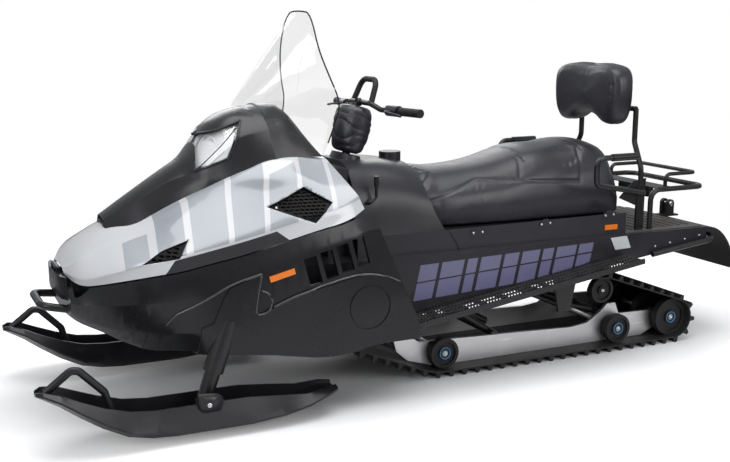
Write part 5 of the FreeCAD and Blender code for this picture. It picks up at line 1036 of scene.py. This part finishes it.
# %% Seat shape
seat_table = np.array([
    (-0.085, 0.84, 0.50, 0.68, 0.75), (-0.030, 0.85, 0.51, 0.67, 0.76), (0.020, 0.86, 0.53, 0.64, 0.73),
    (0.060, 0.90, 0.56, 0.62, 0.72), (0.200, 0.94, 0.62, 0.64, 0.73), (0.340, 0.98, 0.68, 0.69, 0.77),
    (0.480, 1.00, 0.70, 0.80, 0.87), (0.550, 1.00, 0.70, 0.86, 0.94), (0.700, 1.00, 0.70, 0.86, 0.94),
    (0.820, 1.00, 0.72, 0.92, 0.99), (0.920, 0.98, 0.68, 0.88, 0.95), (0.975, 0.94, 0.62, 0.74, 0.80),
    (1.000, 0.90, 0.56, 0.50, 0.56),
])
shrink = 0.005
seat_front, seat_length, seat_half = -0.048, 0.937, 0.250
seat_low, seat_tall = 0.628, 0.335
seat_x = seat_front - seat_table[:, 0] * (seat_length - shrink)
foot_y = seat_table[:, 1] * seat_half - shrink
shoulder_y = seat_table[:, 2] * seat_half - shrink / 2
base_z = np.full(len(seat_x), seat_low + 0.002)
shoulder_z, crown_z = (seat_low + seat_table[:, i] * seat_tall - shrink for i in (3, 4))
half = [(foot_y * 0.0, base_z), (foot_y * 0.55, base_z), (foot_y - 0.002, base_z), (foot_y, base_z + 0.003),
        (foot_y, base_z * 0.6 + shoulder_z * 0.4), (foot_y * 0.93, base_z * 0.28 + shoulder_z * 0.72),
        (shoulder_y * 1.04, shoulder_z * 0.99 + base_z * 0.01),
        (shoulder_y * 0.6, crown_z * 0.6 + shoulder_z * 0.4), (shoulder_y * 0.0, crown_z)]
closed = both_halves(seat_x, half, closed=True)
closed = cut_corners(np.concatenate([closed, closed[:, :1]], axis=1), 2, 1)[:, :-1]
seat_rings = cut_corners(closed, 3, 0)
tank_z = np.array([0.545, 0.610, 0.702, 0.779, 0.878, 1.043])
tank_x = np.array([-0.118, -0.077, -0.023, 0.004, 0.019, 0.020])
limit = np.interp(seat_rings[..., 2], tank_z, tank_x) - shrink
seat_rings[..., 0] = np.minimum(seat_rings[..., 0], limit)
seat_cover = capped_loft("seat_cover", seat_rings, seat_vinyl)
swell(seat_cover, voxel=0.007, frames=16, cap=0.0045)

# %% Seat seams
side_paths = [[(-0.022, 0.736), (-0.261, 0.817), (-0.753, 0.787), (-0.770, 0.897), (-0.795, 0.960)],
              [(-0.453, 0.814), (-0.501, 0.951)], [(-0.070, 0.880), (-0.066, 0.845), (0.010, 0.790)]]
top_paths = [[(-0.501, -0.17), (-0.506, 0.0), (-0.501, 0.17)], [(-0.795, -0.17), (-0.800, 0.0), (-0.795, 0.17)]]
spots, normals = vertex_array(seat_cover.data), vertex_array(seat_cover.data, "normal")
side_gap = np.where(np.abs(normals[:, 1]) > 0.35, nearest_path(spots[:, (0, 2)], side_paths), 1.0)
top_gap = np.where(normals[:, 2] > 0.6, nearest_path(spots[:, (0, 1)], top_paths), 1.0)
seam_depth, seam_width = 0.0045, 0.0065
spots = spots - normals * (seam_depth * bell(np.minimum(side_gap, top_gap), seam_width))[:, None]

# Near the side seams the cover sags in shallow waves, more towards the top.
sag_depth, sag_width, sag_low, sag_rise = 0.0012, 0.05, 0.70, 0.2
rows_up = np.clip((spots[:, 2] - sag_low) / sag_rise, 0, 1)
sag = np.sin(spots[:, 0] * 31.0 + 1.3 * np.sin(spots[:, 2] * 17.0)) * bell(side_gap, sag_width)
move_vertices(seat_cover.data, spots - normals * (sag_depth * sag * rows_up)[:, None])
settle(seat_cover)
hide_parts("seat")
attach(seat_cover, "chassis")
print("seat faces:", len(seat_cover.data.polygons))

# %% [markdown]
# ## The backrest pad
# A kidney-shaped pad with an arch in its lower edge, wrapped a little round the passenger's
# sides. Rings of its outline shrink towards the front and back faces, which gives the plump
# edge; the cloth pass tightens it.

# %% Backrest pad
pad_outline = np.array([
    (0.0, 0.97), (0.32, 1.0), (0.62, 1.0), (0.85, 0.92), (0.97, 0.68), (1.0, 0.25), (0.99, -0.20),
    (0.94, -0.60), (0.82, -0.92), (0.68, -1.0), (0.52, -0.95), (0.38, -0.82), (0.22, -0.72), (0.0, -0.68)])


def rounded(outline, rounds=2):
    """A closed outline with its corners cut."""
    return cut_corners(np.concatenate([outline, outline[:1]]), rounds, 0)[:-1]


def pad_line(outline, x, wide, tall):
    """The outline at its real size round the pad's middle, swept back towards its sides."""
    return np.stack([x + pad_sweep * outline[:, 0] ** 2, outline[:, 0] * wide,
                     pad_z + outline[:, 1] * tall], axis=-1)


pad_x, pad_z, pad_sweep = -0.985, 1.150, 0.020
outline = rounded(np.concatenate([pad_outline, pad_outline[-2:0:-1] * [-1, 1]]))
slice_angle = np.linspace(-math.pi / 2, math.pi / 2, 15)[1:-1]
swing = np.sign(np.sin(slice_angle)) * np.abs(np.sin(slice_angle)) ** 0.8
narrow = np.abs(np.cos(slice_angle)) ** 0.34
middle = np.array([0.0, 0.22])
back_pad = capped_loft("back_pad", [
    pad_line(middle + (outline - middle) * (0.52 + 0.48 * share), pad_x + depth * 0.062 - 0.008, 0.244, 0.134)
    for depth, share in zip(swing, narrow)], seat_vinyl)
swell(back_pad, voxel=0.006, frames=16, cap=0.004)
piping = [pad_line(middle + (outline - middle) * 0.86, pad_x + 0.055, 0.250, 0.138),
          pad_line(outline, pad_x, 0.250, 0.138)]
gap = nearest_path(vertex_array(back_pad.data), [np.concatenate([line, line[:1]]) for line in piping])
press_seams(back_pad, gap, depth=0.004, width=0.006)
settle(back_pad)
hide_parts("backrest_pad")
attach(back_pad, "chassis")
print("pad faces:", len(back_pad.data.polygons))

# %% [markdown]
# ## The steering sleeve
# A quilted sleeve hides the steering column. It is stuffed only lightly, so it carries deep
# slanted creases; they are waves pressed into the swollen shape.

# %% Steering sleeve
column_lean = math.radians(13.0)
column_up = np.array([-math.sin(column_lean), 0.0, math.cos(column_lean)])
column_ahead = np.array([math.cos(column_lean), 0.0, math.sin(column_lean)])
column_side = np.array([0, 1, 0])
column_foot = np.array([0.262, 0.0, 0.936])
sleeve_length, sleeve_deep, sleeve_wide = 0.196, 0.076, 0.104
turn = np.linspace(0, 2 * math.pi, 40, endpoint=False)[:, None]
sleeve_rings = np.array([
    column_foot + column_up * (0.003 + reach * sleeve_length)
    + np.cos(turn) * column_ahead * deep * sleeve_deep + np.sin(turn) * column_side * wide * sleeve_wide
    for reach, deep, wide in ((0.02, 0.70, 0.76), (0.10, 0.80, 0.82), (0.30, 0.96, 0.85),
                              (0.60, 1.02, 0.89), (0.85, 0.96, 0.85), (0.97, 0.78, 0.70))])
bar_sleeve = capped_loft("bar_sleeve", cut_corners(sleeve_rings, 2, 0), seat_vinyl)
swell(bar_sleeve, voxel=0.0035, frames=14, cap=0.004)
spots, normals = vertex_array(bar_sleeve.data), vertex_array(bar_sleeve.data, "normal")
local = spots - column_foot
height = local @ column_up
around = np.arctan2(local[:, 1], local @ column_ahead)
lines = height * 150 + 2.6 * np.sin(around + 0.6) + 1.2 * np.sin(2 * around + height * 25)
bends = 0.7 * np.sin(height * 43 - around * 2.0) + 0.5 * np.sin(around * 4.0 + height * 70)
waves = 1.0 - 2.0 * np.abs(np.sin(lines * 0.5 + bends)) ** 0.7
broad = np.sin(height * 37 + around * 3.0)
ends = np.clip(height / 0.02, 0, 1) * np.clip((sleeve_length - height) / 0.02, 0, 1)
move_vertices(bar_sleeve.data, spots - normals * ((0.0016 * (waves + 0.8) + 0.0012 * broad) * ends)[:, None])
settle(bar_sleeve)
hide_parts("steering_pad")
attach(bar_sleeve, "steering")
print("sleeve faces:", len(bar_sleeve.data.polygons))

# %% [markdown]
# ## Smooth mouldings
# Several rigid pieces are right as they are, but their facets catch the light one by one.
# A merged copy stands for each. Many points are scattered over its skin, and every corner takes
# the mean facing of the points near it, left out where the skin turns sharply: the shape and
# its clear edges stay, and the facets go.

# %% Smooth copies
for node, body, reach, angle, material, slot in (
        ("side_panel_left", "chassis", 0.022, 24, hull_plastic, "hull_black"),
        ("side_panel_right", "chassis", 0.022, 24, hull_plastic, "hull_black"),
        ("belly_pan", "chassis", 0.040, 32, hull_plastic, "hull_black"),
        ("nose_trim", "chassis", 0.025, 32, hull_plastic, "hull_black"),
        ("fuel_tank", "chassis", 0.025, 40, cover_plastic, "hull_black"),
        ("cowl", "hood", 0.025, 40, gloss_plastic, "gloss_black"),
        ("windshield", "hood", 0.030, 60, shield_sheet, "shield_tint"),
        ("ski_left", "ski_left_body", 0.030, 34, ski_plastic, "ski_plastic"),
        ("ski_right", "ski_right_body", 0.030, 34, ski_plastic, "ski_plastic"),
        ("snow_flap", "chassis", 0.030, 34, rubber, "rubber_black")):
    smooth_copy(node, body, reach, angle, material)
print("smooth copies made")

# %% [markdown]
# ## Moulded ridges of the side panels
# Along the arches the panels carry a rounded ridge that catches the light. Its line is known in
# side view only, so rays sent in from the side find the panel's skin at each point, and a thin
# rounded bead is laid half sunk into it. The bead is painted lighter than the panel it belongs
# to, a painted highlight on top of the real one. One set of lines serves both sides, and the
# same rays seat a small bracket with its bolt on the outer side of each ski's mount.

# %% Heads and rays
def heads(name, places, axis, radius, height, material, body):
    """Domed heads of one size at many places, standing along axis, as one mesh."""
    around, axis = ring_round(axis, 14)
    shape = np.array([(1.0, -0.3), (1.0, 0.25), (0.86, 0.62), (0.55, 0.92), (0.30, 1.0), (0.28, 0.7),
                      (0.02, 0.7)])[..., None, None]
    rings = shape[:, 1] * axis * height + shape[:, 0] * radius * around
    verts = (np.asarray(places, float)[:, None, None] + rings).reshape(-1, 3)
    one = grid_faces(*rings.shape[:2], wrap=True)
    faces = (one + rings.shape[0] * rings.shape[1] * np.arange(len(places))[:, None, None]).reshape(-1, 4)
    place_on(mesh_object(name, verts, faces, material), body)


def skin_side(trees, side, x, z, spread=0.0045):
    """How far out the skin reaches at one place in side view, or None where there is none."""
    best = None
    for tree in trees:
        for dx in (-spread, 0, spread):
            for dz in (-spread, 0, spread):
                hit = tree.ray_cast(Vector((x + dx, side * 0.9, z + dz)), Vector((0, -side, 0)))[0]
                if hit is not None and hit.y * side > 0.2 and (best is None or hit.y * side > best):
                    best = hit.y * side
    return best


def panel_tree(node):
    """A frame node's triangles, ready for rays."""
    mesh = nodes[node].data
    return BVHTree.FromPolygons([v.co[:] for v in mesh.vertices], [p.vertices[:] for p in mesh.polygons])


def calm_line(values, rounds):
    """Each inner value becomes the mean of itself, twice, and its neighbours; the ends stay."""
    for _ in range(rounds):
        values[1:-1] = (values[:-2] + 2 * values[1:-1] + values[2:]) / 4


print("heads and rays ready")

# %% Ridges and ski brackets
front_arch = [(1.148, 0.398), (1.118, 0.440), (1.041, 0.478), (0.989, 0.506), (0.937, 0.535), (0.876, 0.558),
              (0.813, 0.576)]
recess_edge = [(0.815, 0.570), (0.825, 0.524), (0.835, 0.474), (0.841, 0.424), (0.809, 0.424), (0.781, 0.440),
               (0.771, 0.471), (0.786, 0.501), (0.816, 0.513)]
rear_ridge = [(0.771, 0.448), (0.694, 0.477), (0.602, 0.501), (0.490, 0.525), (0.414, 0.535), (0.366, 0.532),
              (0.308, 0.517), (0.250, 0.490)]
bracket_outline = np.array([(1.080, 0.172), (0.978, 0.161), (0.995, 0.088), (1.069, 0.088)])
bolt_x, bolt_z = 1.037, 0.124
# The ridge plastic is lighter than the hull plastic it is moulded from: a painted highlight.
ridge_highlight_plastic = finish("ridge_highlight_plastic", (0.030, 0.030, 0.034), 0.17, grain_scale=700, bump=0.02, specular=0.9)
for side, label in both_sides:
    skin = [panel_tree("side_panel_" + label), panel_tree("belly_pan"), panel_tree("nose_trim")]
    for number, line in enumerate((front_arch, recess_edge, rear_ridge)):
        fine = even_points(line, fewest=12)
        calm_line(fine, 3)
        outs = [skin_side(skin, side, x, z) for x, z in fine]
        laid = np.array([(x, side * (out - 0.0008), z) for (x, z), out in zip(fine, outs) if out is not None])
        calm_line(laid[:, 1], 2)
        bead = tube_along("panel_ridge_%s_%d" % (label, number), laid, radius=0.0046, material=ridge_highlight_plastic,
                          sides=10)
        place_on(bead, "chassis")
    body = "ski_%s_body" % label
    out = skin_side([panel_tree("ski_" + label)], side, bolt_x, bolt_z, 0.012)
    bracket = side_prism("ski_bracket_" + label, rounded(bracket_outline), side * (out - 0.004),
                         side * (out + 0.007), powder_coat)
    place_on(bracket, body)
    heads("ski_bolt_" + label, [(bolt_x, side * (out + 0.007), bolt_z)], (0, side, 0), 0.010, 0.006, zinc, body)

# %% [markdown]
# ## Tail lamp case
# Seen from the front the tail lamp is a dark case; only its rear face is red. The case is a
# thin shell round the lens, open to the rear, measured from the lens itself.

# %% Tail lamp case
def side_rectangle(x_pair, z_pair):
    """A rectangle in side view."""
    (x_low, x_high), (z_low, z_high) = x_pair, z_pair
    return np.array([(x_low, z_low), (x_high, z_low), (x_high, z_high), (x_low, z_high)])


lens = vertex_array(nodes["tail_lamp"].data)
low, high = lens.min(axis=0), lens.max(axis=0)
case_wall, case_lap = 0.003, 0.0005
whole_y, whole_z = ((low[i] - case_wall, high[i] + case_wall) for i in (1, 2))
case_x = (low[0] + 0.004, high[0] + 0.002)
low_y, low_z = ((low[i] - case_wall, low[i] + case_lap) for i in (1, 2))
high_y, high_z = ((high[i] - case_lap, high[i] + case_wall) for i in (1, 2))
for name, x_pair, z_pair, y_pair in (
        ("lamp_case_front", (high[0], high[0] + 0.004), whole_z, whole_y),
        ("lamp_case_0", case_x, low_z, whole_y), ("lamp_case_1", case_x, high_z, whole_y),
        ("lamp_cheek_0", case_x, (low[2], high[2]), low_y),
        ("lamp_cheek_1", case_x, (low[2], high[2]), high_y)):
    place_on(side_prism(name, side_rectangle(x_pair, z_pair), *y_pair, powder_coat), "chassis")
print("tail lamp case:", [round(float(size), 3) for size in high - low])

# %% [markdown]
# ## Hitch latch
# The latch is two rounded lugs on a foot with a plated pin and nut between them. It takes the
# place of the plain block of the frame and is measured from that block.

# %% Hitch latch
block = vertex_array(nodes["tow_hitch"].data)
low, high = block.min(axis=0), block.max(axis=0)
mid_x, wide = (low[0] + high[0]) / 2, high[1] - low[1]
lug_half, lug_inset, lug_thick, foot_thick = min(0.020, (high[0] - low[0]) / 2), 0.009, 0.016, 0.008
turn = np.linspace(0, np.pi, 11)
lug_top = np.stack([mid_x + lug_half * np.cos(turn), high[2] - lug_half + lug_half * np.sin(turn)], axis=1)
lug = np.concatenate([[(mid_x + lug_half, low[2])], lug_top, [(mid_x - lug_half, low[2])]])
latch_pieces = [side_prism("hitch_lug_%d" % number, lug, middle - lug_thick / 2, middle + lug_thick / 2)
                for number, middle in enumerate((low[1] + lug_inset, high[1] - lug_inset))]
foot = side_rectangle((low[0], high[0]), (low[2], low[2] + foot_thick))
latch_pieces.append(side_prism("hitch_foot", foot, low[1], high[1]))
for piece in latch_pieces:
    one_finish(piece, powder_coat, sharp=30)
    place_on(piece, "chassis")
pin_profile = [(0.0005, 0.0), (0.013, 0.0), (0.013, 0.008), (0.0075, 0.009), (0.0075, wide - 0.009),
               (0.013, wide - 0.008), (0.013, wide), (0.0005, wide)]
pin = lathe("hitch_pin", pin_profile, (mid_x, low[1], high[2] - lug_half), (0, 1, 0), zinc, sides=18)
place_on(pin, "chassis")
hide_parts("tow_hitch")
print("latch built round a block", (high - low).round(3))

# %% [markdown]
# ## Tread on the running boards
# Boots need grip, so every bar of the boards carries a row of upright teeth. One tooth is a
# small wedge; its corners are added to an array of places, which gives a whole row at once.

# %% Board teeth
board_slope = math.radians(8.4)
board_along = np.array([-math.cos(board_slope), 0.0, math.sin(board_slope)])
board_up = np.array([math.sin(board_slope), 0.0, math.cos(board_slope)])
board_x, board_y, board_z = 0.170, 0.320, 0.289
tooth = np.array([(-0.0052, 0.0), (0.0052, 0.0), (0.0022, 0.0085), (-0.0022, 0.0085)])
tooth_corners = np.concatenate([tooth[:, :1] * board_along + tooth[:, 1:] * board_up + [0, offset, 0]
                                for offset in (-0.0022, 0.0022)])
tooth_faces = np.array([(0, 1, 2, 3), (4, 7, 6, 5), (0, 4, 5, 1), (1, 5, 6, 2), (2, 6, 7, 3), (3, 7, 4, 0)])
reach_along = np.arange(0.030, 1.105, 0.0145)[:, None]
for side, label in both_sides:
    places = np.concatenate([
        np.array([board_x, side * (board_y + out), board_z]) + (reach_along + 0.007 * (row % 2)) * board_along
        + board_up * 0.0035 for row, out in enumerate((0.009, 0.048, 0.084, 0.121))])
    corners = (places[:, None] + tooth_corners).reshape(-1, 3)
    faces = (tooth_faces + 8 * np.arange(len(places))[:, None, None]).reshape(-1, 4)
    teeth = mesh_object("board_teeth_" + label, corners, faces, board_coat)
    teeth.data.shade_flat()
    place_on(teeth, "chassis")
print("teeth on each board:", len(places))

# %% [markdown]
# ## Fasteners and small plates
# Bolt heads, latch plates and the dark joints between covers are small, but they give the
# panels their scale. A head is a turned profile; all heads of one kind on one side are one
# mesh, made by adding the same rings to each place.

# %% Bolt heads
latch_bolts = np.array([(-0.181, 0.612), (-0.224, 0.613), (-0.517, 0.622), (-0.560, 0.625), (-0.851, 0.636),
                        (-0.894, 0.638)])
deck_bolts = [(-1.121, 0.478), (-1.204, 0.488), (-1.289, 0.498), (-1.372, 0.509)]
cover_screws = [(-0.358, 0.607), (-0.371, 0.555), (-0.700, 0.600)]
wheel_middles = [(-0.075, 0.096), (-0.979, 0.096), (-1.281, 0.116), (-0.880, 0.287)]
seal_profile = [(0.0225, -0.002), (0.0265, -0.002), (0.0265, 0.002), (0.0250, 0.0034), (0.0225, 0.002),
                (0.0225, -0.001)]
for side, label in both_sides:
    for name, places, out, radius, height, material, slot in (
            ("latch_bolts_", latch_bolts, 0.3030, 0.0055, 0.0032, zinc, "zinc"),
            ("deck_bolts_", deck_bolts, 0.3214, 0.0052, 0.0032, zinc, "zinc"),
            ("cover_screws_", cover_screws, 0.300, 0.0045, 0.002, powder_coat, "tube_black"),
            ("idler_bolts_", wheel_middles, 0.2680, 0.010, 0.008, zinc, "zinc")):
        heads(name + label, [(x, side * out, z) for x, z in places], (0, side, 0), radius, height, material,
              "chassis")
    for number, (x, z) in enumerate(wheel_middles[:3]):
        seal = lathe("idler_seal_%s_%d" % (label, number), seal_profile, (x, side * 0.2685, z), (0, side, 0),
                     seal_blue, sides=28)
        place_on(seal, "chassis")
print("bolt heads set")

# %% Latch plates, joints and the blank plate
def thin_plate(name, outline, y_first, y_second, material, rounds):
    """A plate with rounded corners standing on the machine's side."""
    plate = side_prism(name, rounded(outline, rounds), y_first, y_second, material)
    one_finish(plate, material, sharp=30)
    place_on(plate, "chassis")


label_paper = finish("label_paper", (0.58, 0.60, 0.62), 0.4, grain_scale=600, bump=0.02)
latch_outline = np.array([(-0.034, -0.010), (-0.026, -0.013), (0.026, -0.013), (0.034, -0.010), (0.034, 0.010),
                          (0.018, 0.012), (0.015, 0.020), (-0.015, 0.020), (-0.018, 0.012), (-0.034, 0.010)])
blank = np.array([(-0.871, 0.537), (-0.959, 0.540), (-0.983, 0.484), (-0.899, 0.481)])
joint_line = [(-0.069, 0.3005, 0.627), (-0.084, 0.3005, 0.600), (-0.104, 0.3005, 0.572),
              (-0.112, 0.3005, 0.549)]
for side, label in both_sides:
    for number, middle in enumerate((latch_bolts[::2] + latch_bolts[1::2]) / 2):
        thin_plate("latch_%s_%d" % (label, number), middle + latch_outline, side * 0.2985, side * 0.3030,
                   cover_plastic, 1)
    thin_plate("blank_plate_" + label, blank, side * 0.3198, side * 0.3206, label_paper, 0)
    joint = tube_along("cover_joint_" + label, np.array(joint_line) * [1, side, 1], radius=0.0026,
                       material=rubber, sides=8)
    place_on(joint, "chassis")
print("plates and joints laid")
